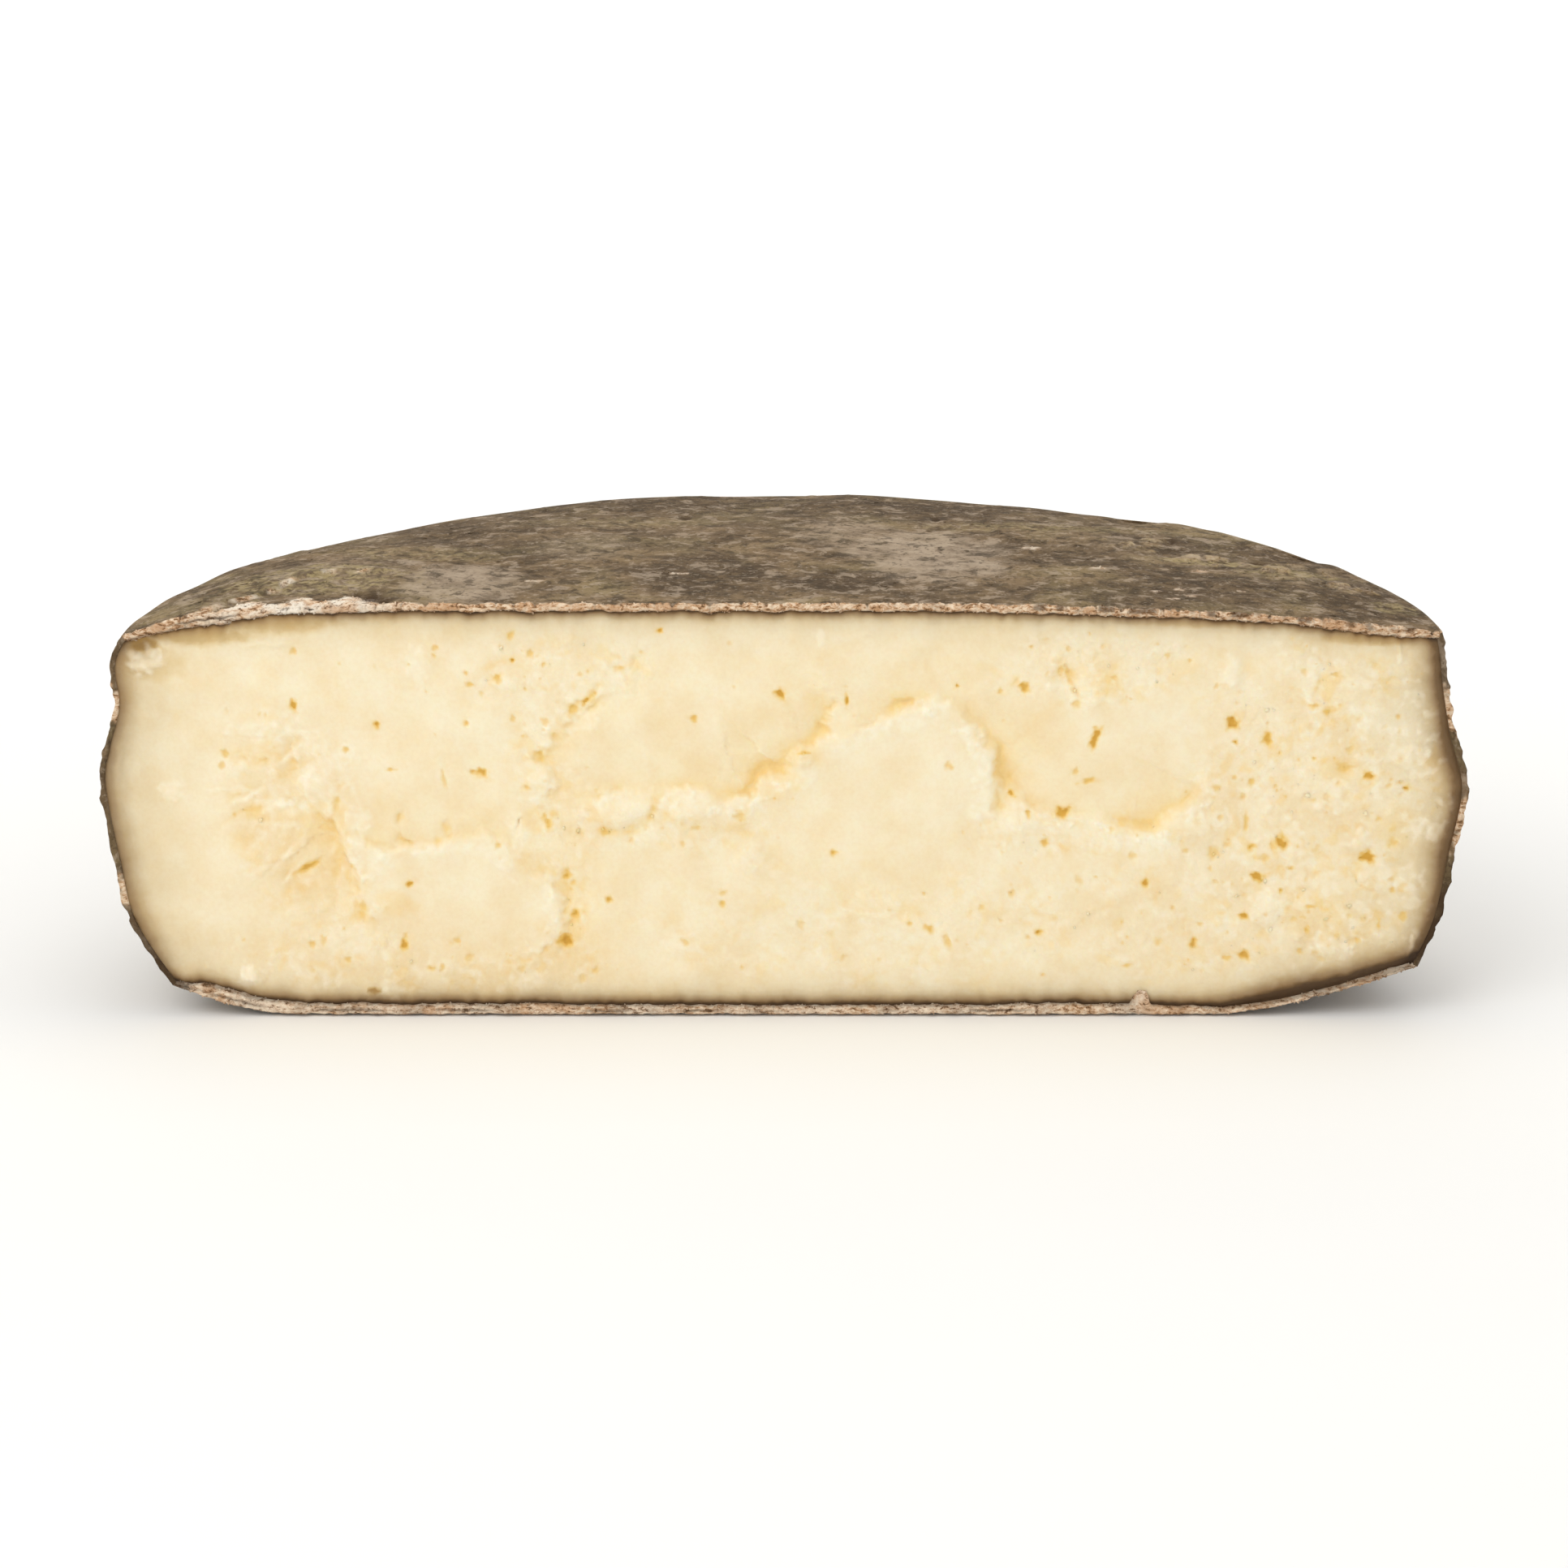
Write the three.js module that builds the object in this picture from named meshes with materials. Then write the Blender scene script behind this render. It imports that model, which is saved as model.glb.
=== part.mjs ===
// A half wheel of wine-aged cheese, standing on its flat base. The wheel was split straight down
// through its middle, so the cut face is as wide as the wheel and shows torn, crumbly paste.
// Millimetres, +Z up. The cut face looks along -Y and +X is to its right.
// While it is built, the wheel's own axis is the line x = 0, y = 0; the finished solid is then
// centred on its bounding box, with its base at z = 0.
import * as THREE from "three";

// Wheel as a whole
const CROWN_HEIGHT = 94.4; // the top, at the wheel's axis
const PASTE_COLOUR = "#f4e3bc"; // cut paste, the larger part of what is seen
const PASTE_ROUGHNESS = 0.62;

// The rind's profile at three places round the wheel. Sizes are [radius, height] pairs. The top sags
// from the crown to the shoulder, the side bulges to a belly and draws in to a corner, and the
// underside curves from that corner down to the flat base, which it meets at footRadius.
const RIGHT = {
  shoulder: [143.3, 88.1],
  side: [[144.6, 81.5], [145.4, 75.5], [147.6, 64.5], [150.7, 52.5], [148.4, 37], [145.8, 22.5]],
  corner: [141.4, 11.4],
  footRadius: 97,
  topSag: 2.8,
  footSweep: 1.5,
};
const BACK = {
  shoulder: [144.6, 88.9],
  side: [[146.8, 81.5], [147.6, 73.5], [149.2, 64], [150.4, 53], [148.6, 37.5], [145, 21.5]],
  corner: [138.8, 9.2],
  footRadius: 103,
  topSag: 3,
  footSweep: 1.7,
};
const LEFT = {
  shoulder: [144.3, 87.1],
  side: [[147.3, 80.5], [146.8, 71.5], [149.4, 61.5], [150.7, 53.5], [148.2, 35.5], [145.4, 21.8]],
  corner: [136.6, 7],
  footRadius: 108,
  topSag: 8,
  footSweep: 1.9,
};

// Broad unevenness of the rind, from the press cloth and from turning on the shelf
const RIND_LUMP = 0.9; // height of the lumps
const LUMP_LENGTH = 34; // from one lump to the next, round the wheel
const LUMPS_PER_STRETCH = 4; // across the top, and again down the side
const RIND_CALM_ANGLE = 0.22; // the rind is even up to this far from the cut, in radians
const CALM_ABOVE_CORNER = 0.3; // and on this share of the side, above its lower corner

// The right-hand shoulder, a little way behind the cut, is more battered than the rest.
const BATTERED = { height: 1.5, length: 11, angle: 0.62, spread: 0.34, reach: 0.12 };

// The cut face. Positive depths go into the cheese. A hollow is a torn-out flake: it grows deeper
// along its slope direction and stops at its edge in a short wall.
const EVEN_BORDER = 13; // the paste under the rind is sound and even for about this far
const WALL_RUN = 2.6; // how far a hollow's wall takes to come up
const FULL_DEPTH_AT = 0.9; // share of the way down its slope where a hollow is at full depth
const LEFT_SCOOP = {
  depth: 6.2,
  slope: [0.5, -0.86],
  edge: [
    [-53, 50], [-42, 49.5], [-29.5, 52], [-16, 51], [-11.5, 50], [-6, 53.8], [1.6, 58.5], [4.5, 62.4],
    [10.5, 67.6], [7, 73], [-10, 77], [-29, 76.5], [-42, 72], [-48, 66], [-55, 60],
  ],
};
const RIGHT_SCOOP = {
  depth: 5.6,
  slope: [-0.1, -0.99],
  edge: [
    [46, 50.2], [54, 47.4], [62, 46.5], [72, 43.7], [81, 41.8], [86, 43.7], [92, 50], [96, 55], [93, 66],
    [80, 73], [60, 75], [48, 73], [41, 66], [45.5, 58],
  ],
};
const FAN = {
  depth: 6,
  slope: [0.86, -0.5],
  edge: [
    [-126, 65], [-119, 52], [-113, 43], [-107, 35], [-100, 29], [-92, 22], [-93.5, 32], [-97, 41],
    [-97.4, 50], [-100, 59], [-111, 68],
  ],
};
const HOLLOWS = [LEFT_SCOOP, RIGHT_SCOOP, FAN];
const FAN_FLAKES = { centre: [-128, 74], count: 15, height: 0.9 }; // flakes that fan out from one point

// Plateaus stand a little proud of the paste round them.
const HILL = {
  height: 1.1,
  edge: [
    [-0.5, 44], [0.5, 51], [2.4, 57], [5.4, 62.2], [11.4, 66.7], [19.4, 68.7], [28, 72], [35.3, 73.1],
    [38.6, 67.8], [43.8, 61.7], [45.5, 56], [45, 50], [47.5, 44], [42, 36], [22, 31], [5, 35],
  ],
};
const SLAB = {
  height: 1,
  edge: [
    [-96.5, 40.6], [-87, 39], [-80, 38], [-66, 39.9], [-58, 38], [-50.5, 30.5], [-49.5, 23], [-51, 15.4],
    [-62, 11], [-80, 12.5], [-90.5, 21.5],
  ],
};
const PLATEAUS = [HILL, SLAB];
const PLATEAU_RUN = 4; // how far a plateau's edge takes to come up

// Crevices are narrow and go in; crumb ridges are torn edges that stand out.
const CREVICES = [
  { depth: 3.6, width: 2.2, path: [[-48.4, 34], [-46.8, 26], [-47.4, 20], [-50.5, 15.5]] },
  { depth: 3.2, width: 2, path: [[-43.3, 74], [-46, 70], [-49.5, 66.5], [-55.2, 61]] },
  { depth: 2.4, width: 1.6, path: [[-85.9, 47], [-86.2, 41.5], [-80, 39.4], [-73.4, 40.4], [-73.2, 45.4]] },
  { depth: 3, width: 2, path: [[-54, 48], [-51.4, 44.6], [-50.4, 41.5]] },
  { depth: 2.2, width: 3.2, path: [[59, 83], [61.5, 78], [66.6, 72]] },
  { depth: 2.4, width: 2.4, path: [[102, 46.5], [103, 41], [105, 33.5]] },
];
const CRUMB_RIDGES = [
  { height: 1.5, width: 2.6, path: [[-44, 46.5], [-36, 48.4], [-29.4, 49.6], [-20, 48.6], [-12, 47.4]] },
  { height: 1.4, width: 2.8, path: [[46.5, 47.6], [56, 44.6], [66, 43], [78, 39.6], [87, 40.6]] },
  { height: 1.3, width: 2.6, path: [[89, 46], [94, 47.8], [99, 47.4]] },
  { height: 1.1, width: 2.4, path: [[-46.8, 65], [-42, 68.6], [-37.5, 71.4]] },
];
const TEAR_HEIGHT = 0.8; // broad unevenness of the torn paste
const TEAR_LENGTH = 17;

// Noise: a broad layer and a finer one on top of it
const NOISE_SEED = 4177;
const FINE_LAYER = { share: 0.45, finer: 2.3, shift: 40 };
const MIX = [374761393, 668265263, 1274126177]; // large primes that scatter the seed

// How finely the solid is faceted
const CAP_COLUMNS = 52; // across half of the cut face
const FOOT_COLUMNS = 15; // those of them that lie over the curved part of the underside
const FACE_ROWS = 33;
const RIND_RINGS = 44; // steps round the back of the half wheel
const RING_STEPS = [8, 14, 5]; // across the top, down the side, and under to the flat base
const BASE_SIDES = 3; // the flat base's rim has few corners, so it rests on them without rocking

const { lerp, smoothstep } = THREE.MathUtils;

// Smooth noise between -1 and 1 with one lump in each unit cell.
function noise(x, z) {
  const corner = (i, j) => {
    let h = Math.imul(i, MIX[0]) + Math.imul(j, MIX[1]) + NOISE_SEED;
    h = Math.imul(h ^ (h >>> 13), MIX[2]);
    return ((h ^ (h >>> 16)) >>> 0) / 2 ** 31 - 1;
  };
  const i = Math.floor(x);
  const j = Math.floor(z);
  const u = smoothstep(x - i, 0, 1);
  const v = smoothstep(z - j, 0, 1);
  const low = lerp(corner(i, j), corner(i + 1, j), u);
  const high = lerp(corner(i, j + 1), corner(i + 1, j + 1), u);
  return lerp(low, high, v);
}

function layeredNoise(x, z) {
  const { share, finer, shift } = FINE_LAYER;
  return noise(x, z) + share * noise(finer * x, finer * z + shift);
}

function blendPairs(a, b, t) {
  return [lerp(a[0], b[0], t), lerp(a[1], b[1], t)];
}

// The rind's profile at an angle round from the right end of the cut.
function stationAt(angle) {
  const turn = angle / (Math.PI / 2);
  const [from, to] = turn < 1 ? [RIGHT, BACK] : [BACK, LEFT];
  const t = smoothstep(turn < 1 ? turn : turn - 1, 0, 1);
  return {
    shoulder: blendPairs(from.shoulder, to.shoulder, t),
    side: from.side.map((pair, i) => blendPairs(pair, to.side[i], t)),
    corner: blendPairs(from.corner, to.corner, t),
    footRadius: lerp(from.footRadius, to.footRadius, t),
    topSag: lerp(from.topSag, to.topSag, t),
    footSweep: lerp(from.footSweep, to.footSweep, t),
  };
}

// A point of that profile as [radius, height]: 0 to 1 runs from the crown to the shoulder, 1 to 2 down
// the side to the corner, 2 to 3 under the wheel to its flat base, and 3 to 4 along that to the axis.
function profilePoint(station, run) {
  const { shoulder, side, corner, footRadius, topSag, footSweep } = station;
  if (run <= 1) return [run * shoulder[0], CROWN_HEIGHT - (CROWN_HEIGHT - shoulder[1]) * run ** topSag];
  if (run < 2) {
    const knots = [shoulder, ...side, corner].map(([r, z]) => new THREE.Vector2(r, z));
    return new THREE.SplineCurve(knots).getPoint(run - 1).toArray();
  }
  if (run < 3) return [lerp(footRadius, corner[0], 3 - run), corner[1] * (3 - run) ** footSweep];
  return [footRadius * (4 - run), 0];
}

// The rind's surface, with its lumps. They die out towards the cut, the base and the axis.
function rindPoint(angle, run) {
  let [radius, height] = profilePoint(stationAt(angle), run);
  const nearestEnd = Math.min(angle, Math.PI - angle);
  const calm = smoothstep(nearestEnd, 0, RIND_CALM_ANGLE);
  const arc = angle * RIGHT.shoulder[0];
  const lump = calm * RIND_LUMP * layeredNoise(arc / LUMP_LENGTH, run * LUMPS_PER_STRETCH);
  const batteredHere = Math.exp(-(((angle - BATTERED.angle) / BATTERED.spread) ** 2));
  const onShoulder = Math.exp(-(((run - 1) / BATTERED.reach) ** 2));
  const knock = calm * batteredHere * onShoulder * BATTERED.height * noise(arc / BATTERED.length, 0.5);
  if (run <= 1) height += lump * run;
  else if (run < 2) radius += lump * smoothstep(2 - run, 0, CALM_ABOVE_CORNER);
  if (run < 2) height += knock;
  return new THREE.Vector3(radius * Math.cos(angle), radius * Math.sin(angle), height);
}

// Distance from a point to a path, and whether the point is inside it where it is closed.
function nearPath(path, x, z, closed) {
  let nearest = Infinity;
  let inside = false;
  const last = closed ? path.length : path.length - 1;
  for (let i = 0; i < last; i++) {
    const [ax, az] = path[i];
    const [bx, bz] = path[(i + 1) % path.length];
    const along = ((x - ax) * (bx - ax) + (z - az) * (bz - az)) / ((bx - ax) ** 2 + (bz - az) ** 2);
    const t = Math.min(1, Math.max(0, along));
    nearest = Math.min(nearest, Math.hypot(x - lerp(ax, bx, t), z - lerp(az, bz, t)));
    if (closed && az > z !== bz > z && x < ax + ((z - az) / (bz - az)) * (bx - ax)) inside = !inside;
  }
  return { distance: nearest, inside };
}

// Depth of one hollow: nothing at its shallow end, full depth near its far end, then a short wall.
function hollowDepth({ depth, slope, edge }, x, z) {
  const { distance, inside } = nearPath(edge, x, z, true);
  if (!inside) return 0;
  const reach = edge.map(([ex, ez]) => ex * slope[0] + ez * slope[1]);
  const start = Math.min(...reach);
  const share = (x * slope[0] + z * slope[1] - start) / (Math.max(...reach) - start);
  return depth * smoothstep(share, 0, FULL_DEPTH_AT) * smoothstep(distance, 0, WALL_RUN);
}

function plateauHeight({ height, edge }, x, z) {
  const { distance, inside } = nearPath(edge, x, z, true);
  return inside ? height * smoothstep(distance, 0, PLATEAU_RUN) : 0;
}

// How far the torn paste lies behind the plane of the cut.
function cutDepth(x, z, borderDistance) {
  const even = smoothstep(borderDistance, 0, EVEN_BORDER);
  let depth = TEAR_HEIGHT * layeredNoise(x / TEAR_LENGTH, z / TEAR_LENGTH);
  for (const hollow of HOLLOWS) depth += hollowDepth(hollow, x, z);
  for (const plateau of PLATEAUS) depth -= plateauHeight(plateau, x, z);
  const fanAngle = Math.atan2(z - FAN_FLAKES.centre[1], x - FAN_FLAKES.centre[0]);
  const inFan = hollowDepth(FAN, x, z) / FAN.depth;
  depth += inFan * FAN_FLAKES.height * Math.sin(fanAngle * FAN_FLAKES.count);
  for (const { depth: deep, width, path } of CREVICES)
    depth += deep * Math.exp(-((nearPath(path, x, z, false).distance / width) ** 2));
  for (const { height, width, path } of CRUMB_RIDGES)
    depth -= height * Math.exp(-((nearPath(path, x, z, false).distance / width) ** 2));
  return even * depth;
}

// The solid's points and triangles, gathered one at a time.
class Skin {
  points = [];
  triangles = [];

  addPoint(point) {
    return this.points.push(point) - 1;
  }

  // A triangle that has shrunk to a line, as at the axis, is left out.
  addTriangle(a, b, c) {
    if (a !== b && b !== c && c !== a) this.triangles.push(a, b, c);
  }

  // Two neighbouring lines of points with the same number of points.
  addStrip(first, second) {
    for (let i = 0; i + 1 < first.length; i++) {
      this.addTriangle(first[i], first[i + 1], second[i + 1]);
      this.addTriangle(first[i], second[i + 1], second[i]);
    }
  }

  // Two neighbouring lines whose points run at different steps, each given with its running values.
  addZip(first, firstRuns, second, secondRuns) {
    let i = 0;
    let j = 0;
    while (i + 1 < first.length || j + 1 < second.length) {
      const firstNext = i + 1 < first.length ? firstRuns[i + 1] : Infinity;
      const secondNext = j + 1 < second.length ? secondRuns[j + 1] : Infinity;
      if (firstNext <= secondNext) {
        this.addTriangle(first[i], first[i + 1], second[j]);
        i++;
      } else {
        this.addTriangle(first[i], second[j + 1], second[j]);
        j++;
      }
    }
  }

  geometry() {
    const geometry = new THREE.BufferGeometry().setFromPoints(this.points);
    geometry.setIndex(this.triangles);
    geometry.computeVertexNormals();
    return geometry;
  }
}

// Running values along a profile, with each of its stretches divided evenly.
function runsOf(stepCounts) {
  const runs = stepCounts.flatMap((count, stretch) =>
    Array.from({ length: count }, (_, i) => stretch + i / count));
  return [...runs, stepCounts.length];
}

// Even angles round the back of the half wheel, without its two ends on the cut.
function anglesBetweenEnds(sides) {
  return Array.from({ length: sides - 1 }, (_, i) => ((i + 1) * Math.PI) / sides);
}

// The rind: one line of points for each step round, from the crown to just short of the flat base, and
// then the base itself. The two lines on the cut are finer and go on to the base's middle. They are
// returned for the cut face to share.
function addRind(skin) {
  const crown = skin.addPoint(rindPoint(0, 0));
  const baseMiddle = skin.addPoint(rindPoint(0, 4));
  const lineAt = (angle, runs) =>
    runs.map((run) => (run === 0 ? crown : skin.addPoint(rindPoint(angle, run))));
  const cutRuns = runsOf([CAP_COLUMNS, FACE_ROWS, FOOT_COLUMNS, CAP_COLUMNS - FOOT_COLUMNS]);
  const right = [...lineAt(0, cutRuns.slice(0, -1)), baseMiddle];
  const left = [...lineAt(Math.PI, cutRuns.slice(0, -1)), baseMiddle];

  const rimAt = cutRuns.indexOf(3);
  const downToRim = (line) => line.slice(0, rimAt + 1);
  const ringAngles = anglesBetweenEnds(RIND_RINGS);
  const ringRuns = runsOf(RING_STEPS).slice(0, -1);
  const rings = ringAngles.map((angle) => lineAt(angle, ringRuns));
  skin.addZip(downToRim(right), downToRim(cutRuns), rings[0], ringRuns);
  for (let i = 1; i < rings.length; i++) skin.addStrip(rings[i - 1], rings[i]);
  skin.addZip(rings.at(-1), ringRuns, downToRim(left), downToRim(cutRuns));

  const cornerAngles = anglesBetweenEnds(BASE_SIDES);
  const corners = cornerAngles.map((angle) => skin.addPoint(rindPoint(angle, 3)));
  const rim = [right[rimAt], ...corners, left[rimAt]];
  skin.addZip(rim, [0, ...cornerAngles, Math.PI], rings.map((ring) => ring.at(-1)), ringAngles);
  const alongCut = [...right.slice(rimAt), ...left.slice(rimAt, -1).reverse()];
  const alongAngles = alongCut.map((_, i) => (i * Math.PI) / (alongCut.length - 1));
  skin.addZip(alongCut, alongAngles, corners, cornerAngles);
  return { right, left };
}

// The cut face: a grid stretched between the four sides of the outline, then pushed in by its relief.
function addCutFace(skin, { right, left }) {
  const columns = 2 * CAP_COLUMNS;
  const sideOf = (line) => line.slice(CAP_COLUMNS, CAP_COLUMNS + FACE_ROWS + 1);
  const topOf = (line) => line.slice(0, CAP_COLUMNS + 1);
  const underOf = (line) => line.slice(CAP_COLUMNS + FACE_ROWS);
  const top = [...topOf(left).reverse(), ...topOf(right).slice(1)];
  const bottom = [...underOf(left), ...underOf(right).reverse().slice(1)];
  const leftSide = sideOf(left);
  const rightSide = sideOf(right);
  const outline = [...right, ...left.slice(1, -1).reverse()];
  const outlinePath = outline.map((i) => [skin.points[i].x, skin.points[i].z]);
  const share = (index, weight) => skin.points[index].clone().multiplyScalar(weight);

  const innerPoint = (column, row) => {
    const u = column / columns;
    const v = row / FACE_ROWS;
    const point = share(top[column], 1 - v).add(share(bottom[column], v));
    point.add(share(leftSide[row], 1 - u)).add(share(rightSide[row], u));
    point.sub(share(top[0], (1 - u) * (1 - v))).sub(share(top[columns], u * (1 - v)));
    point.sub(share(bottom[0], (1 - u) * v)).sub(share(bottom[columns], u * v));
    point.y = cutDepth(point.x, point.z, nearPath(outlinePath, point.x, point.z, true).distance);
    return skin.addPoint(point);
  };

  let above = top;
  for (let row = 1; row < FACE_ROWS; row++) {
    const line = [leftSide[row]];
    for (let column = 1; column < columns; column++) line.push(innerPoint(column, row));
    line.push(rightSide[row]);
    skin.addStrip(line, above);
    above = line;
  }
  skin.addStrip(bottom, above);
}

function cheeseGeometry() {
  const skin = new Skin();
  addCutFace(skin, addRind(skin));
  const geometry = skin.geometry();
  geometry.computeBoundingBox();
  const { min, max } = geometry.boundingBox;
  geometry.translate(-(min.x + max.x) / 2, -(min.y + max.y) / 2, -min.z);
  return geometry;
}

const cheese = new THREE.Mesh(
  cheeseGeometry(),
  new THREE.MeshStandardMaterial({ color: PASTE_COLOUR, roughness: PASTE_ROUGHNESS, metalness: 0 }),
);
cheese.name = "cheese";

const halfWheel = new THREE.Group();
halfWheel.add(cheese);

export default halfWheel;
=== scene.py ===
"""Half wheel of wine-aged cheese: a firm, pale straw paste with a torn and crumbly cut face, in a dry,
mouldy crust that shows its broken edge all round the cut."""

import math

import bmesh
import bpy
import numpy as np
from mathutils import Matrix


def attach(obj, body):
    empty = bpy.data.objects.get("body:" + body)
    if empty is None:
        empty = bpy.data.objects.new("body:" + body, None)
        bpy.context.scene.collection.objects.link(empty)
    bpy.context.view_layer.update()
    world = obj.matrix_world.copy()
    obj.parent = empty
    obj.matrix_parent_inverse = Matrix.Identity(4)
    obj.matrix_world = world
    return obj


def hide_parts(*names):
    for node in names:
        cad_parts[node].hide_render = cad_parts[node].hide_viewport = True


bl_info = {
    "name": "Wine-Aged Cheese Half Wheel",
    "version": (1, 0, 0),
    "blender": (4, 5, 0),
    "location": "3D View > Sidebar > Cheese",
    "description": "Builds the paste, the crust, the loose crumbs and the studio of a half wheel of cheese",
    "category": "Add Mesh",
}

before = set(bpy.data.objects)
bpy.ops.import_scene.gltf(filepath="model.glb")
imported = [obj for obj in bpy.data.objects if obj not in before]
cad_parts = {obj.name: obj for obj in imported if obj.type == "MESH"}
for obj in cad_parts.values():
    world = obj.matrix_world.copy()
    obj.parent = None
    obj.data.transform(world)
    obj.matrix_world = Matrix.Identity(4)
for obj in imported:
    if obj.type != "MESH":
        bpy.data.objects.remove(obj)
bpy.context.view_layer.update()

# The wheel, in millimetres. x runs along the cut, y goes into the cheese from the cut, z is up, and the
# wheel's axis stands at x = 0, y = 0. Knots are (radius, height) from the shoulder down to the corner.
CROWN_HEIGHT = 94.4
RIGHT = {
    "knots": [(143.3, 88.1), (144.6, 81.5), (145.4, 75.5), (147.6, 64.5), (150.7, 52.5), (148.4, 37),
              (145.8, 22.5), (141.4, 11.4)],
    "foot": 97,
    "top_sag": 2.8,
    "foot_sweep": 1.5,
}
BACK = {
    "knots": [(144.6, 88.9), (146.8, 81.5), (147.6, 73.5), (149.2, 64), (150.4, 53), (148.6, 37.5),
              (145, 21.5), (138.8, 9.2)],
    "foot": 103,
    "top_sag": 3,
    "foot_sweep": 1.7,
}
LEFT = {
    "knots": [(144.3, 87.1), (147.3, 80.5), (146.8, 71.5), (149.4, 61.5), (150.7, 53.5), (148.2, 35.5),
              (145.4, 21.8), (136.6, 7)],
    "foot": 108,
    "top_sag": 8,
    "foot_sweep": 1.9,
}
STATIONS = (RIGHT, BACK, LEFT)
RIND_LUMP = 0.9  # height of the rind's broad lumps
LUMP_LENGTH = 34
LUMPS_PER_STRETCH = 4  # along each stretch of the profile
RIND_CALM_ANGLE = 0.22  # the lumps fade out within this angle of the cut
CALM_ABOVE_CORNER = 0.3  # and over this share of the side, above its corner
SHOULDER_FADE = 0.12  # they turn from upwards to outwards over this share of the side
BATTERED = {"height": 1.5, "length": 11, "angle": 0.62, "spread": 0.34, "reach": 0.12}  # knocked shoulder
MIDDLE_HEIGHT = CROWN_HEIGHT / 2
WAIST = 147  # mean radius of the side, which turns its angles into lengths
MERGE_DISTANCE = 4e-6  # metres

# The cut face. All its relief fades out towards the crust, over the first distance below. The paste broke
# in steps: the surface lies lower on the left of each path, as it is followed, by the drop given at each
# point (x, z, drop), and comes up again over the fade, which is the number before the path.
EVEN_BORDER = 11
STEPS_IN_PASTE = {
    "left scoop": (9.0, [
        (-50.3, 48.8, 0.2), (-43.1, 48.8, 0.9), (-38.2, 51.1, 0.8), (-28.3, 51.1, 0.8), (-26.1, 52.2, 1.1),
        (-20.7, 52.5, 1.0), (-15.4, 50.2, 1.4), (-8.2, 49.7, 2.0), (-3.8, 53.9, 2.7), (1.2, 55.5, 2.5),
        (1.8, 59.5, 1.7), (6.1, 61.3, 1.4), (10.9, 65, 2.1), (10.4, 69.6, 1.8), (13.5, 72, 0)]),
    "hill": (7.0, [
        (2.6, 60, 0), (5.2, 60.5, 0.6), (15, 64.2, 0.9), (21.2, 67.4, 1.1), (26, 69.4, 2.0), (29, 70.6, 1.6),
        (33, 72.4, 0.9), (36.7, 71.1, 1.1), (39.4, 66.8, 1.4), (43.4, 63.2, 2.0), (45.7, 59.5, 2.5),
        (45.6, 53, 2.4), (45.5, 48, 1.5), (46.5, 43, 0)]),
    "right scoop": (8.5, [
        (46, 54, 0), (48, 52.3, 1.2), (51, 50.4, 1.1), (54.3, 47.6, 1.0), (61.6, 46.4, 0.9),
        (69.8, 44.9, 0.9), (73.9, 43.2, 1.7), (77.2, 42.3, 2.2), (82, 42.6, 2.7), (85.2, 44.9, 2.3),
        (88.4, 47.4, 1.8), (91.6, 50.4, 1.3), (93.1, 53, 0.7), (94, 58, 0)]),
    "fan": (11.0, [
        (-91, 20, 0), (-91.9, 23.8, 1.0), (-93, 29, 2.0), (-94.5, 33.3, 2.4), (-95.9, 36.5, 2.6),
        (-97.3, 40.9, 2.2), (-99, 45.4, 1.5), (-102.6, 47.8, 0.9), (-106.4, 51.1, 0.8), (-106.8, 56.2, 0.7),
        (-106.8, 63.7, 0.5), (-107, 67, 0)]),
    "slab": (5.0, [
        (-98, 41.4, 0), (-94.7, 39.7, 0.8), (-91.5, 38.6, 1.0), (-86.6, 37.7, 1.1), (-82.5, 38.4, 1.0),
        (-75.1, 40.1, 0.9), (-66.1, 40.9, 1.2), (-62.9, 39.2, 1.0), (-61.3, 35.8, 0.9), (-57.3, 31.9, 0.9),
        (-52.5, 30, 1.0), (-50, 28.6, 1.4), (-49.3, 21.2, 1.6), (-50.6, 16.9, 1.4), (-55, 14, 0.9),
        (-62, 12, 0)]),
    "left crag": (4.5, [
        (-34, 86, 0), (-34.7, 82.4, 0.9), (-35.2, 75.6, 0.9), (-37, 73.9, 0.6), (-41.9, 73.7, 1.3),
        (-46.4, 70.1, 1.6), (-49.5, 66.8, 1.2), (-54.1, 60.4, 1.7), (-52.4, 56, 1.0), (-51.1, 53, 1.1),
        (-54.5, 49, 1.1), (-56.1, 47.4, 1.0), (-52.6, 45.5, 1.4), (-51.3, 42.7, 0.9), (-50.4, 38, 0)]),
    "upper right": (4.0, [
        (61, 84, 0), (60.6, 80, 1.1), (61.6, 76, 1.5), (64.4, 72.4, 1.3), (67, 69.6, 0)]),
    "right flat": (5.0, [
        (-12, 38, 0), (-10.1, 37.1, 0.5), (6.1, 30.8, 0.5), (13.3, 25.2, 0.8), (19.7, 23.2, 0.7),
        (27.8, 21.3, 0.5), (36, 20, 0)]),
    "right end": (4.0, [
        (117, 84, 0), (115.4, 79.4, 0.7), (115.5, 72.5, 0.9), (118.6, 69.6, 0.8), (121.5, 64, 0)]),
    "right foot": (5.0, [
        (113, 20, 0), (117, 16.8, 0.6), (124, 15.5, 0.8), (130, 18, 0.9), (133, 23, 0.6), (134, 28, 0)]),
}
SMOOTH_STEP = "right scoop"  # this one's path is less ragged
SMOOTH_SHARE = 0.3  # by this share
STEP_WALL = 1.15  # run of a step's wall
RIM = 1.5  # reach of the crumbly rim on a step's high side
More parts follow.
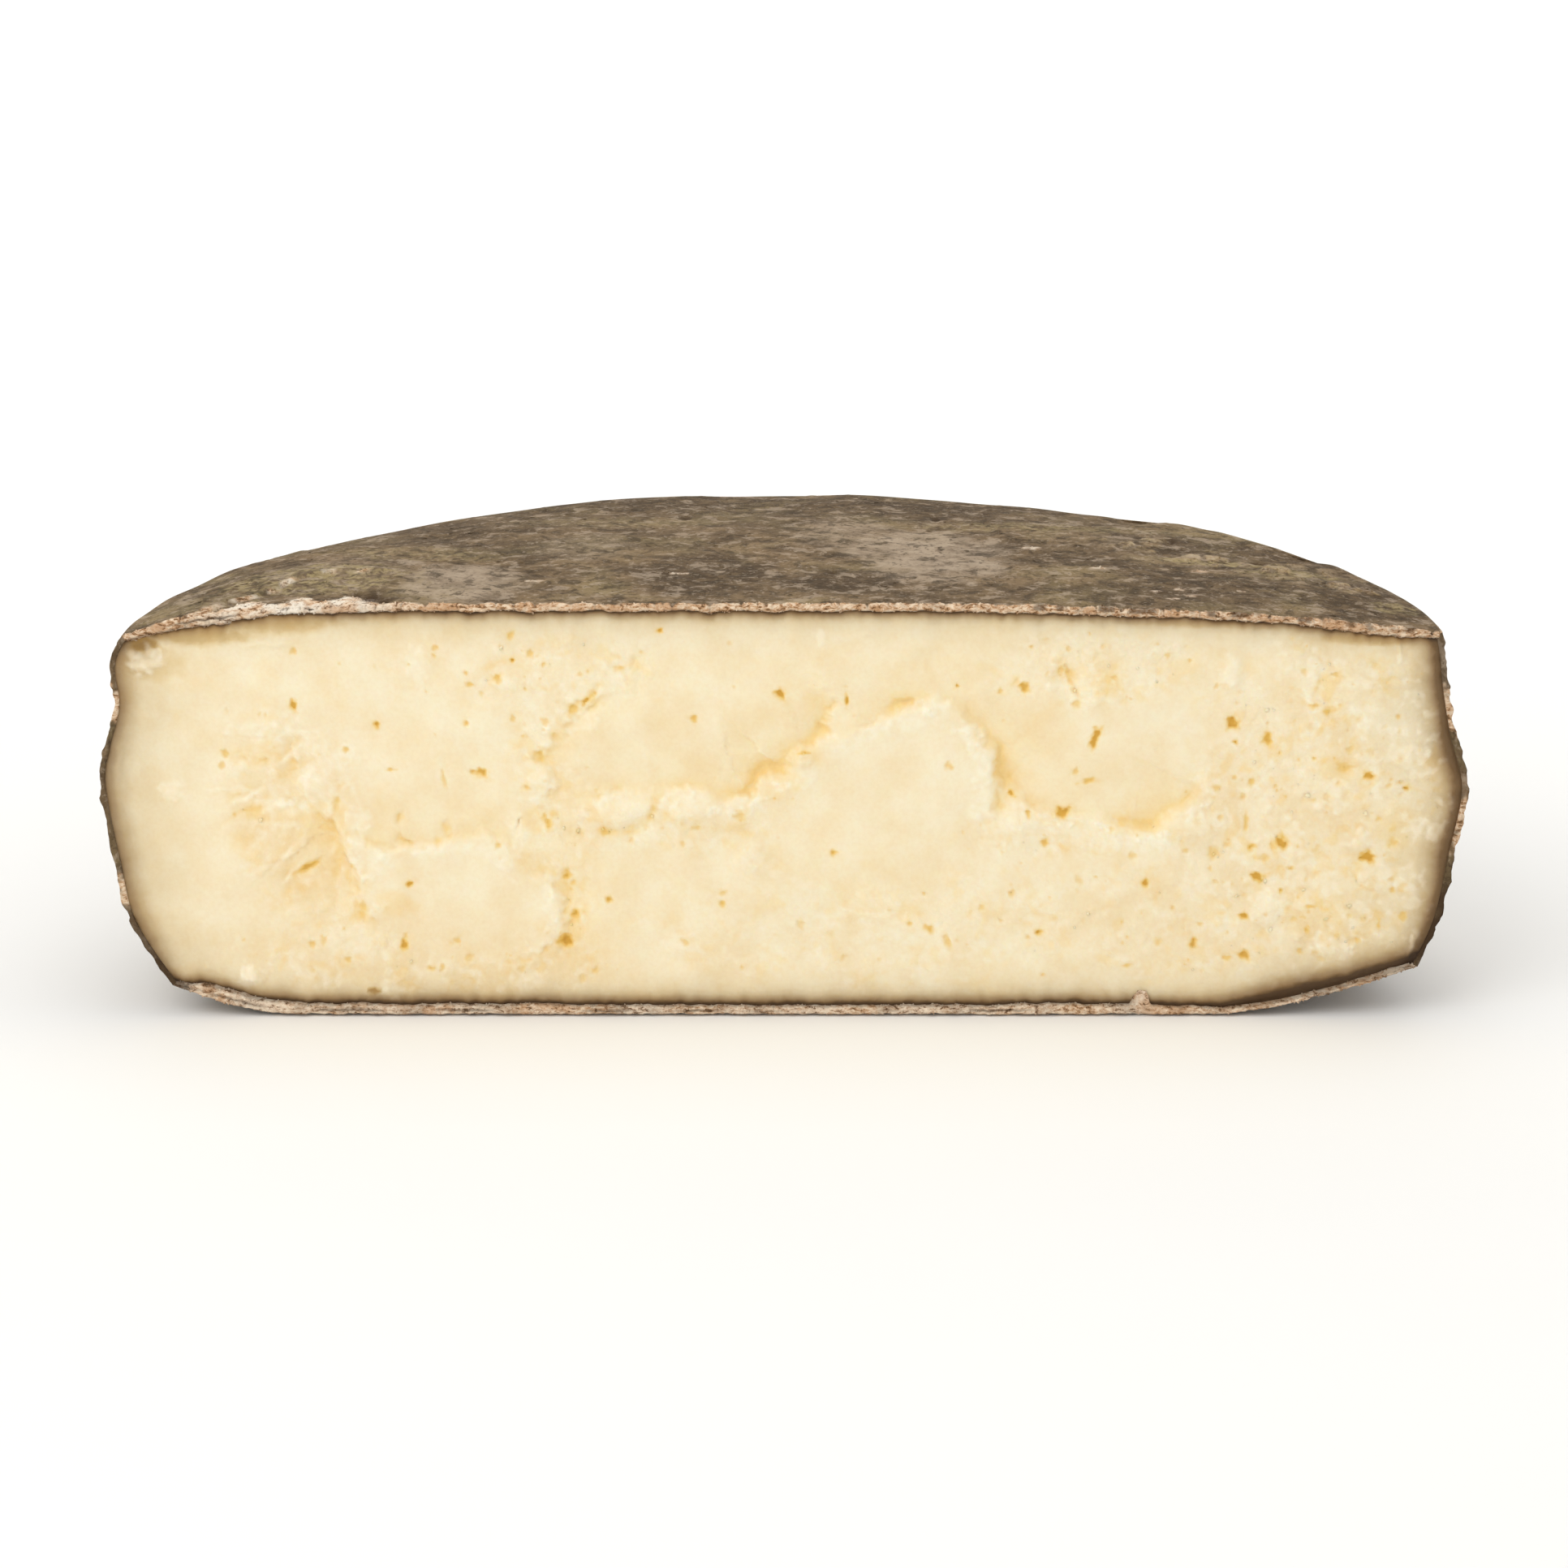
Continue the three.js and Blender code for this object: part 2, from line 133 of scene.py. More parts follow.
# Patches of painted golden shade: (x, z, half width, half height, amount)
SHADED = [
    (-100, 43.5, 4.5, 7, 0.55), (-95.5, 32, 4, 4, 0.4), (-3, 54.5, 7, 5, 0.4), (3.4, 60.6, 5, 3, 0.5),
    (27, 73.2, 6, 2, 0.5), (49, 57, 3, 7, 0.5), (82, 44.6, 9, 3, 0.45), (134.6, 44, 4.4, 5, 0.45),
    (122, 57, 5, 3, 0.4), (-55.5, 45, 3.4, 3, 0.45), (-86, 26, 4, 3, 0.4), (118, 24, 9, 6, 0.3),
    (70, 76, 3, 4, 0.4), (-112, 47, 8, 2, 0.45), (-115, 60, 6, 3, 0.4), (-119, 40, 4, 3, 0.3),
]
# Narrow cracks, each with painted shade along it: (depth, half width, path of (x, z))
CREVICES = [
    (1.2, 0.9, [(-48.6, 33), (-48.8, 27.3), (-46.4, 23.4), (-46.9, 18.7), (-48.6, 16.9), (-54.4, 14.3)]),
    (1.2, 0.8, [(-40.9, 75.2), (-43.3, 72.5), (-45.6, 70.9)]),
    (1.3, 0.7, [(-84.7, 46.9), (-85.8, 44.3), (-85.3, 41.8), (-82.9, 40.4)]),
    (1.2, 0.7, [(-74.6, 44.3), (-74.4, 41.5), (-76.8, 40.4)]),
    (0.5, 1.1, [(-27.4, 51.1), (-28.4, 46)]),
    (1.0, 0.8, [(-28.2, 46.7), (-32.4, 43.7), (-39.8, 42.3)]),
    (0.9, 1.0, [(-107.6, 33.2), (-103.4, 35.6)]),
    (0.8, 0.6, [(-56.5, 14), (-62, 12.4)]),
]
# Soft lumps (height above 0) and pockets (below 0): (x, z, half width, half height, tilt in degrees, height)
LUMPS = [
    (-36.0, 47.2, 7.4, 3.4, 8, 1.3), (-20.8, 48.2, 5.6, 3.8, 0, 1.4), (-11, 46.6, 4.4, 3.2, 0, 0.8),
    (-52.9, 55.4, 2.6, 2.6, 0, 0.8), (-58.0, 43.6, 3.2, 3.4, 0, 0.6), (3.6, 59.6, 2.4, 1.8, 20, 0.8),
    (15.6, 67.2, 3.0, 2.0, 20, 0.7), (-43, 66.5, 5, 3.4, 35, 0.8), (-33, 68, 4, 3, 0, 0.5),
    (-7.5, 37, 3.4, 4.2, 0, 0.8), (50.8, 44.8, 4.6, 2.6, -20, 0.7), (90, 44.6, 6, 3, 10, 0.7),
    (107.9, 25.4, 4.6, 3.4, 0, 0.9), (67, 75.5, 3.4, 5.4, 0, 0.8), (97.6, 78.8, 2.2, 3.6, 0, 0.8),
    (-102, 58, 3.6, 7, 0, 0.6), (-61, 77.2, 3.2, 2.6, 0, 0.7), (-34, 77, 1.6, 4, 0, 0.7),
    (20, 25.6, 5.5, 3, -20, 0.6), (127, 40, 2.6, 2.6, 0, 0.6), (137, 60, 3, 3, 0, 0.5),
    (-134, 51.5, 2.6, 2, 0, 0.4), (-101, 42, 4.5, 9, 0, -0.6), (8.6, 66.2, 2.6, 2.2, 0, -1.3),
    (26.6, 71.6, 3.4, 1.6, 0, -1.1), (47.6, 56.6, 2.6, 6, 0, -0.9), (-3, 57.2, 4.5, 3.4, 30, -1.0),
    (60.6, 78, 1.8, 4.2, 0, -0.8), (135.4, 43.6, 4.6, 4, 0, -0.5), (123, 57.5, 3, 2, 0, -0.6),
    (94.8, 37.8, 3, 2.4, 0, -0.5), (32, 82, 4, 2.2, 0, -0.5), (-106, 60, 5, 5, 0, -0.6),
    (-82, 25.6, 3, 3, 0, -0.5),
]
# The same, close to the crust, where the rest of the relief has faded out
LUMPS_BY_CRUST = [
    (-139.4, 84.8, 3.4, 2.2, 0, -2.0), (-138.6, 81, 3.4, 1.2, 0, 1.0), (-142.4, 82.8, 1.0, 2.0, 0, 0.8),
    (-119, 9.6, 2.1, 1.7, 0, 1.1), (-112, 85.4, 5, 0.8, 6, 0.5), (134.3, 84.4, 0.5, 2.6, 0, 0.5),
    (139.8, 16.4, 0.5, 3.0, -20, 0.5), (-146, 56, 1.5, 6, 0, 0.5),
]
TEAR_HEIGHT = 0.6  # broad unevenness of the torn face
TEAR_LENGTH = 17
FAN = (-109.5, 46.5, 15, 21, 12)  # (x, z, half width, half height, lean in degrees) of the flaky stretch
FLAKE_CENTRE = (40, 112)  # the fan's flakes lie along lines that run out of this point
FLAKE_ANGLE = 0.04  # radians from one flake to the next
FLAKE_HEIGHT = 0.7
FLAKES_END = [(-101, 37, 8, 13)]  # where they peter out

# Eyes, the small holes of the paste: (x, z, half width, half height, tilt in degrees, amount). The clearest
# ones are placed. The many faint ones are scattered, most of them where the paste is crumbly.
EYES = [
    (-107.5, 71.3, 0.9, 1.5, 0, 1), (-89.3, 66.9, 0.8, 1.0, 0, 1), (-96.2, 61.6, 0.6, 0.6, 0, 0.7),
    (-69.6, 67.7, 0.7, 0.7, 0, 0.8), (-86.5, 57, 1.1, 0.5, 5, 0.7), (-66.6, 56.2, 1.7, 1.3, -20, 0.9),
    (-74.8, 54.5, 0.5, 2.0, 10, 0.5), (-98.5, 49.9, 0.7, 0.9, 0, 0.6), (-105.5, 34.4, 2.8, 0.8, 24, 0.9),
    (-83.1, 30.7, 1.0, 0.8, 20, 1), (-84.6, 16.5, 1.0, 1.4, 0, 1), (-93.5, 25.5, 0.8, 1.2, 0, 0.5),
    (-102.4, 17.4, 0.6, 1.4, -20, 0.5), (-97.2, 13, 0.8, 0.9, 0, 0.6), (-78.7, 10.9, 0.9, 0.6, 0, 0.7),
    (-76.2, 11.3, 0.5, 0.7, 0, 0.7), (-63.3, 39.6, 0.7, 0.7, 0, 0.7), (-48.3, 32.6, 1.0, 1.3, 0, 0.9),
    (-46.4, 23.4, 1.0, 1.0, 0, 0.9), (-48.6, 17.3, 1.6, 1.8, 20, 1), (-39, 27, 0.8, 0.8, 0, 0.9),
    (-39.6, 42.4, 1.3, 0.6, 0, 0.6), (-52.2, 45, 0.9, 2.0, 25, 0.9), (-54.2, 59.8, 1.6, 1.2, 0, 0.5),
    (-46.1, 70.4, 1.4, 1.2, 30, 0.7), (-43.3, 72.6, 0.6, 1.5, -40, 1), (-62.5, 77.8, 0.9, 1.1, 0, 0.8),
    (-59.2, 81.7, 0.5, 0.5, 0, 1), (-68.6, 76.3, 1.0, 0.6, 0, 0.7), (-76, 84.7, 0.8, 0.6, 0, 0.6),
    (-107, 83.7, 0.7, 0.8, 0, 0.6), (-27.1, 88.3, 0.7, 0.6, 0, 1), (-19.7, 68.5, 0.8, 0.9, 0, 0.8),
    (-0.7, 74, 1.3, 1.5, 30, 1), (13.7, 72.9, 0.5, 1.5, 0, 1), (37.9, 75.8, 0.5, 0.5, 0, 1),
    (4.5, 60.9, 1.2, 0.4, 0, 0.9), (-10, 46.5, 1.4, 1.0, 0, 0.5), (-19.3, 43.8, 1.3, 0.6, 0, 0.5),
    (-13.7, 26, 0.7, 0.8, 0, 0.8), (-13.5, 28.6, 0.9, 0.6, 20, 0.6), (11, 37.9, 0.9, 0.8, 0, 0.9),
    (36.2, 58, 0.9, 0.9, 0, 0.6), (32.3, 20.3, 1.3, 0.8, -30, 0.8), (36.4, 17.3, 0.8, 1.8, 20, 0.6),
    (27.8, 21.4, 0.8, 0.6, 0, 0.7), (56.6, 19.6, 1.0, 0.9, 0, 1), (52.5, 75.5, 1.2, 1.2, 20, 0.9),
    (47.3, 74.7, 0.7, 0.8, 0, 0.6), (60.5, 79.3, 1.0, 1.8, 0, 0.6), (63.9, 71.8, 1.0, 0.9, 0, 0.6),
    (68.5, 64.3, 1.1, 2.6, -22, 1), (61.6, 47, 2.1, 1.3, 10, 1), (53.8, 47, 0.5, 0.9, 20, 0.8),
    (50.1, 51, 1.2, 0.6, -30, 1), (67.1, 54.2, 1.9, 0.7, 12, 0.8), (64.2, 56.3, 0.7, 0.9, 0, 0.6),
    (57.6, 40.2, 1.0, 1.0, 0, 0.8), (80.1, 31, 1.0, 1.0, 0, 1), (76.9, 37.4, 0.9, 0.9, 0, 0.5),
    (95, 37.8, 1.6, 1.3, 0, 0.4), (98.3, 67.6, 1.5, 1.7, 0, 1), (98.9, 63.2, 0.9, 0.5, -20, 1),
    (106.2, 63.8, 1.1, 1.9, 20, 0.9), (116, 71.4, 1.3, 1.0, 0, 0.8), (119, 70, 0.9, 0.6, 0, 0.7),
    (116.4, 59.6, 0.5, 0.6, 0, 0.9), (123, 57.5, 1.9, 1.2, 0, 0.35), (128.4, 55.6, 1.5, 1.1, 20, 1),
    (137, 52.7, 0.9, 0.8, 0, 1), (102.8, 54, 0.7, 0.9, 0, 0.7), (95.2, 52.9, 0.9, 0.7, 0, 0.6),
    (101.9, 44.9, 0.6, 2.4, 0, 0.7), (103.3, 39.3, 1.1, 0.8, 25, 0.9), (109.8, 40.2, 1.8, 1.8, -20, 1),
    (105.9, 36.8, 1.6, 0.9, 0, 0.5), (105.1, 32.2, 1.8, 1.1, -15, 1), (112.1, 34.2, 0.9, 0.5, 0, 1),
    (110.2, 29.1, 0.6, 0.6, 0, 1), (129.1, 37, 1.9, 1.5, -20, 1), (134.5, 40.2, 1.2, 1.0, 20, 0.6),
    (91.1, 16.6, 1.0, 1.3, 0, 0.9), (102.5, 14.2, 1.4, 1.4, 20, 0.9), (98.8, 13.4, 1.2, 0.5, 0, 0.7),
    (116.9, 25.4, 1.3, 0.5, 0, 0.8), (116.3, 20, 0.5, 0.9, 20, 0.8), (132.3, 21.3, 0.4, 1.4, 0, 0.7),
    (102.2, 23.3, 1.0, 0.9, 0, 1), (128.9, 22.6, 1.0, 0.8, 0, 0.4), (76.7, 11.8, 1.1, 0.5, 10, 0.7),
    (92.5, 21.3, 0.6, 0.6, 0, 0.6), (-42.1, 10.4, 1.0, 0.6, 20, 0.5),
]
FAINT_EYES = 320
FAINT_EYE_SIZE = (0.25, 0.95)  # half width
EYE_FIELD = (-138, 140, 8, 88)  # (left, right, low, high) of the part of the cut that they lie in

# Where the paste is crumbly: (x, z, half width, half height, amount)
CRUMBLY = [
    (120, 46, 30, 40, 0.85), (80, 22, 50, 13, 0.55), (68, 80, 22, 8, 0.7), (20, 18, 50, 11, 0.45),
    (-30, 44, 26, 6, 0.7), (-48, 78, 22, 9, 0.6), (-4, 50, 8, 14, 0.4), (-110, 48, 14, 22, 0.5),
    (-139, 82.5, 5, 4, 1), (-119, 9.6, 4, 3, 1), (-80, 13, 40, 8, 0.65), (-50, 28, 8, 14, 0.6),
    (60, 42, 26, 5, 0.7), (-52, 58, 8, 14, 0.6), (-96, 18, 14, 10, 0.7),
]
# Where it broke smooth: (x, z, half width, half height)
SMOOTH_PLACES = [(-24, 63, 24, 9), (24, 52, 17, 15), (68, 58, 20, 11), (-72, 25, 18, 11), (-134, 38, 12, 24)]
# Where its crumb is nearly white: (x, z, half width, half height, amount)
WHITE_PLACES = [
    (-119, 9.6, 2.4, 1.8, 1), (-139, 81, 3.2, 1.0, 0.1), (-142.6, 83, 0.9, 2.0, 0.15),
    (134.3, 84.4, 0.5, 3.2, 1), (139.8, 16.4, 0.5, 3.0, 0.9), (-110, 65.2, 9, 0.9, 0.9),
    (-98.6, 57.6, 4.6, 6.4, 0.8), (-96.6, 33, 1.6, 7, 0.6), (-121, 52.2, 4.6, 0.8, 0.8),
    (-113, 49.4, 6.4, 0.8, 0.8), (-111, 44.6, 6.6, 0.7, 0.6), (-73, 38.8, 20, 1.2, 0.5),
    (50.6, 44.9, 7, 3, 0.7), (75.6, 40.4, 8, 2.4, 0.7), (90, 44.6, 7, 3, 0.9), (107.9, 25.2, 4.4, 3.6, 1),
    (97.6, 78.8, 2, 3.6, 0.9), (67, 75.6, 2.6, 4.6, 0.9), (115.7, 79.3, 1.6, 3, 0.8),
    (125.5, 76.4, 3, 2, 0.8), (136.5, 60, 4.4, 2.4, 0.7), (113.4, 32.6, 3, 3, 0.8), (127, 41, 3, 2.4, 0.8),
    (-114.1, 66, 6, 1.8, 0.8), (-102, 62, 5, 3, 0.7), (-102.3, 56, 4.2, 5, 0.7), (-94.4, 44, 2.6, 5, 0.9),
    (-93, 34, 2, 3.4, 0.8), (-135, 52, 2.4, 2, 0.7), (-79.8, 80.4, 2.2, 4.6, 0.8),
    (-60.5, 77.1, 2.8, 1.8, 0.9), (-45, 67.4, 4, 3, 0.8), (-52.9, 55, 2.8, 2.6, 0.9),
    (-58.8, 42, 2.6, 2.4, 0.8), (-62, 36.4, 4, 2, 0.7), (-51.6, 28, 2, 4.6, 0.8),
    (-95.4, 17.8, 5.6, 4.2, 0.6), (-88.3, 7.8, 1.8, 2.6, 0.8), (-36, 47.4, 7, 2.8, 0.7),
    (-20.8, 48.6, 4.8, 3, 0.7), (-7.6, 37, 3, 3.6, 0.7), (8.1, 87, 0.8, 2.2, 0.7), (20, 25.4, 5.4, 2.4, 0.6),
    (33, 71, 4, 2, 0.8), (-23, 16, 4, 3, 0.5), (41, 63.5, 3, 3, 0.9), (43.6, 57, 2.2, 6, 1),
    (43.5, 49, 2, 4, 0.8), (4.6, 56.5, 2.2, 4, 0.6), (24, 67.4, 6, 1.6, 0.6), (92, 30, 4, 3, 0.6),
    (121, 51, 4, 3, 0.7), (133, 32, 3, 2.4, 0.6), (104, 48, 3, 4, 0.5), (118, 35, 2.6, 2, 0.7),
    (-97.6, 27, 2, 5, 0.6), (-90, 36, 2.4, 3, 0.8),
]

# The crust's thickness along the cut, in millimetres: (x, thickness) on the top and base, (z, thickness) on
# the right and left
CRUST_TOP = [
    (-145, 1.0), (-140, 1.4), (-136, 1.9), (-127, 2.4), (-122, 2.3), (-117, 1.9), (-112, 1.5), (-104, 1.4),
    (-98, 1.7), (-88, 1.6), (-74, 1.6), (0, 1.65), (40, 1.55), (59, 1.7), (74, 1.75), (90, 1.65), (111, 1.4),
    (121, 1.9), (130, 2.3), (137, 2.0), (144, 1.2),
]
CRUST_BASE = [
    (-137, 0.9), (-134, 1.1), (-130.5, 3.0), (-116, 3.0), (-100, 2.4), (0, 2.1), (48, 2.1), (56, 2.7),
    (68, 2.2), (92, 2.0), (104, 1.3), (128, 0.9), (142, 0.6),
]
# (x, half width, amount) of the stretch where the top's crust broke back from the cut
WIDE_BREAK = (-105, 18, 1)
SPLIT = (-126, 7)  # (x, half width) of the stretch where the top's crust came apart in two strips, whose gap is only a painted shade line
CRUST_RIGHT = [(10, 1.0), (30, 1.2), (40, 1.8), (74, 1.7), (88, 1.2)]
CRUST_LEFT = [(6, 1.0), (30, 1.3), (80, 1.2), (88, 1.0)]
# (x, half width, height) of a bit of the base's crust that is pressed up into the paste
PLUG = (80, 1.8, 3.4)
SIDE_CRUST = 1.3  # thickness round the back
PASTE_INSET = 0.8  # the paste's skin lies this far inside the rind's
RECESS_BEHIND_CRUST = 0.3  # the paste stands back from the crust's broken edge

# How the paste ripens from the crust inwards: (distance from the crust in mm, ripeness) on each side. The
# four sides run into one another softly, over less of a step the higher the sharpness is, and the lift
# gives back what that takes off in the middle.
RIPE_SHARPNESS = 14
RIPE_LIFT = 0.09
# On the top, the first stops hold the darkest colour in a thin line along the crust: painted shadow under the
# crust's lower edge
RIPE_TOP = [(0, -0.08), (0.35, -0.07), (0.65, 0), (1.0, 0.05), (1.45, 0.12), (2.4, 0.29), (3.4, 0.42),
            (4.9, 0.58), (6.6, 0.72), (9.6, 0.9), (13.6, 1)]
RIPE_BASE = [
    (0, -0.08), (0.75, -0.07), (1.3, 0.02), (1.9, 0.08), (2.8, 0.2), (3.7, 0.32), (4.6, 0.46), (5.7, 0.62),
    (7.7, 0.8), (11.3, 1),
]
RIPE_LEFT = [(0, -0.01), (0.7, 0.03), (1.7, 0.075), (2.7, 0.145), (3.7, 0.195), (5.2, 0.32), (6.7, 0.39),
             (8.7, 0.47), (11.7, 0.6), (15.7, 0.76), (21, 0.86), (30, 1)]
RIPE_RIGHT = [(0, -0.05), (1.4, -0.03), (2.4, 0.06), (3.4, 0.135), (4.9, 0.24), (6.4, 0.34), (8.4, 0.52),
              (11.4, 0.6), (15.4, 0.72), (21, 0.86), (30, 1)]
# The darkest colour also paints the shadow line under the top crust
RIPENESS_COLOURS = [
    (0.0, "#3F2D1C"), (0.06, "#7E6444"), (0.12, "#A08765"), (0.21, "#BDA884"), (0.31, "#D4C3A1"),
    (0.46, "#E6D8B8"), (0.68, "#F0E4C6"), (1.0, "#F9EDD0"),
]
# Brown, see-through stretches beside the crust, and where the paste as a whole is a little more golden
BROWNED = [
    (-139.6, 85, 3.6, 1.7, 1), (-137.5, 81, 7, 3.6, 0.35), (-128, 87.2, 12, 2.2, 0.65),
    (-110, 89.8, 12, 2.4, 0.55), (128, 86.6, 10, 1.4, 0.55), (92, 90, 14, 0.8, 0.3),
    (-91.5, 5.8, 1.5, 0.8, 1),
]
BROWN = 0.17  # how ripe the paste looks there at most
DARK_FOOT = (90, 112, 0.35)  # the base ripens more slowly from the first x to the second, by this share
GOLDEN = [(-106, 42, 16, 24, 0.8), (-84, 14, 50, 11, 0.7), (106, 24, 34, 14, 0.6), (112, 44, 20, 26, 0.5)]

# Patches of the top rind: (x, y, half width, half depth, amount)
BLOOM = [
    (34, 53.5, 17, 30, 1.0), (14, 78, 12, 20, 0.5), (-72, 20.5, 14, 18, 0.9), (-99, 34, 16, 20, 0.25),
    (-46, 59.5, 12, 14, 0.35),
]
DARK = [
    (-18, 30, 14, 20, 1.0), (10, 22, 14, 14, 0.9), (-60, 57, 16, 13, 0.8), (83.5, 14, 30, 14, 0.7),
    (0, 124, 90, 18, 1.0), (103, 28, 24, 15, 1.0), (126.5, 20, 16, 16, 1.0), (-6, 100.5, 20, 16, 0.6),
    (-98.5, 79, 30, 16, 0.6), (60, 58, 16, 12, 0.5), (106.5, 72, 20, 10, 0.9), (-30, 68, 20, 10, 0.6),
    (-121, 27.5, 18, 20, 0.75), (132.5, 24, 12, 14, 0.9), (95, 81, 22, 8, 1.0), (65, 95, 22, 8, 0.8),
    (20, 110, 60, 16, 0.7), (-69, 104, 40, 16, 0.6),
]
OCHRE = [
    (99, 57, 14, 4, 1.0), (117.5, 48.5, 14, 4, 0.9), (-105, 26.5, 22, 14, 1.0), (61.5, 89, 30, 7, 0.6),
    (-40, 94, 24, 8, 0.4), (135.5, 18, 5, 6, 0.9), (-83.5, 52.5, 16, 8, 0.5), (-127, 10.5, 14, 12, 0.5),
]
# Tan chips in the side's broken ends, (-1 for the left end or 1 for the right, z, half height), and two faint
# ochre bands all round it, (0, z, a width past its own, half height, amount)
SIDE_CHIPS = [(-1, 72, 5.5), (-1, 29.3, 4.2), (1, 70, 6), (1, 44, 8)]
SIDE_BANDS = [(0, 30, 400, 9, 0.5), (0, 62, 400, 6, 0.35)]
# Small marks of the top rind: pits (x, y, size), a ridge of dry knobs and the painted shade on the slope
# before it, the edge of a lifted flake, and pale dashes (x, y, half width, half depth)
PITS = [
    (-23.9, 102.2, 2.2), (10.8, 32, 1.8), (36.9, 102.4, 2.0), (91, 75.2, 2.6), (110.6, 62, 2.2),
    (-90.6, 7.8, 3.2), (-87.3, 4.3, 2.4), (-94.1, 10.8, 2),
]
LUMPY_RIDGE = [(83.2, 72), (100, 58), (118.5, 48.5), (132.3, 35)]
SHADE_BEFORE_RIDGE = [(77.5, 44.5), (91.2, 35), (107, 21.7), (124.6, 16.6)]
FLAKE_EDGE = [(-127, 2), (-119, 9.5), (-113.6, 16.5), (-109.4, 26.5), (-103.6, 31), (-94.4, 31)]
PALE_DASHES = [
    (-23.4, 30, 2.4, 1.0), (-55.3, 22.3, 2.6, 1.0), (82.4, 17.3, 1.2, 0.9), (85.8, 11.3, 1.4, 0.8),
    (90, 14.5, 1.2, 0.8), (87.8, 20.7, 1.2, 0.9), (102, 22.2, 1.0, 0.8), (71.6, 39.2, 1.8, 1.2),
    (57.7, 62, 2.2, 1.5), (95.1, 44.2, 1.8, 1.2),
]

RAGGED_BREAK = (124, 14, 1)  # (x, half width, amount) of the stretch where the top's broken edge wanders most
CUT_NOTCHES = (6.5, 0.4, 97)  # (spacing, half width, seed) of the notches in the top's broken edge, which are cut in and darkened with painted shade
FINE_NOTCHES = (1.9, 0.22, 98)
BROKEN_END = (132.2, 133.4)  # the base's crust is stained past this distance to the left, over this stretch

# The scattered lumps: radii in metres, height as a share of the width, and seeds
CRUMBS = {"Smallest": 0.00018, "Flatness": 0.9, "Seed": 131}
GRAINS = {"Smallest": 0.00012, "Largest": 0.00042, "Flatness": 0.85, "Seed": 141}
MOULD_FLAKES = {"Smallest": 0.0003, "Largest": 0.0012, "Flatness": 0.12, "Seed": 142}

# Tints that the settings leave alone
CURD_TINT = "#F1DDB2"
TONE_TINT = "#EFD9AC"
SPECKLE_TINT = "#E9D2A0"
DEEP_EYE = "#CF9632"
DARK_STREAK = "#463A2A"
DARK_FIBRE = "#403325"
CHALKY_CRUST = "#EFE4D2"
CRUST_CRACK = "#6A4F35"
# Dark stains of the crust, and the painted shade in its notches, gaps and along its lower edge
STAIN_AND_PAINTED_SHADE = "#453423"
PAPER_SHADE = "#E8E6E0"

# Sizes of the patterns in the materials, in millimetres
CURD, PITTING, PASTE_GRAIN = 9, 2.6, 0.9
CLOUD, MOTTLE, STREAK, FLECK, FIBRE = 30, 9, 5.5, 2.6, 1.3
CRUST_BLOCK, CRUST_GRAIN = 7, 1.7
PAPER_CLOUD = 60

# The floor's outline from front to back, in metres, and how far it lies under the base
FLOOR_PATH = [(-3, 0), (2.0, 0), (2.6, 0.1), (3.0, 0.4), (3.2, 0.9), (3.2, 4.5)]
FLOOR_HALF_WIDTH = 6
FLOOR_DROP = 0.0003

# The broad noise's seed, those of the crust at the cut's two ends, the share, fineness and shift of the
# broad noise's finer layer, and the whole numbers that the hash mixes with, kept to 32 bits
NOISE_SEED = 4177
LEFT_SEED, RIGHT_SEED = 16, 18
FINE_SHARE, FINE_FINER, FINE_SHIFT = 0.45, 2.3, 40
MIX = (374761393, 668265263, 1274126177)
WORD = 0xFFFFFFFF


def hashed(i, j, seed):
    """Evenly spread values from 0 to 1, one for each pair of whole numbers."""
    h = (i.astype(np.int64) * MIX[0] + j.astype(np.int64) * MIX[1] + seed) & WORD
    h = ((h ^ (h >> 13)) * MIX[2]) & WORD
    return (h ^ (h >> 16)) / 2.0**32


def smooth(x, low=0.0, high=1.0):
    """0 below the low end, 1 above the high one, and an even curve between them."""
    t = np.clip((x - low) / (high - low), 0, 1)
    return t * t * (3 - 2 * t)


def lattice_noise(x, y):
    """The broad noise of the CAD solid, from -1 to 1."""
    i, j = np.floor(x), np.floor(y)
    u, v = smooth(x - i), smooth(y - j)
    corner = [[2 * hashed(i + a, j + b, NOISE_SEED) - 1 for b in (0, 1)] for a in (0, 1)]
    low = corner[0][0] * (1 - u) + corner[1][0] * u
    high = corner[0][1] * (1 - u) + corner[1][1] * u
    return low * (1 - v) + high * v


def layered_noise(x, y):
    """The broad noise with a finer layer on it."""
    return lattice_noise(x, y) + FINE_SHARE * lattice_noise(FINE_FINER * x, FINE_FINER * y + FINE_SHIFT)


def ripple(x, y, length, seed):
    """Smooth noise from about -1 to 1 whose lumps are about this long, in mm. Nearly every call has a seed
    of its own, and the number before it is the height in mm, or the share, that the noise counts for."""
    turn_cos, turn_sin = math.cos(seed), math.sin(seed)
    u = (turn_cos * x - turn_sin * y) / length
    v = (turn_sin * x + turn_cos * y) / length
    i, j = np.floor(u), np.floor(v)
    u, v = u - i, v - j
    total = 0.0
    for a in (0, 1):
        for b in (0, 1):
            angle = 2 * math.pi * hashed(i + a, j + b, seed)
            weight = smooth(u if a else 1 - u) * smooth(v if b else 1 - v)
            total = total + weight * ((u - a) * np.cos(angle) + (v - b) * np.sin(angle))
    return 1.6 * total


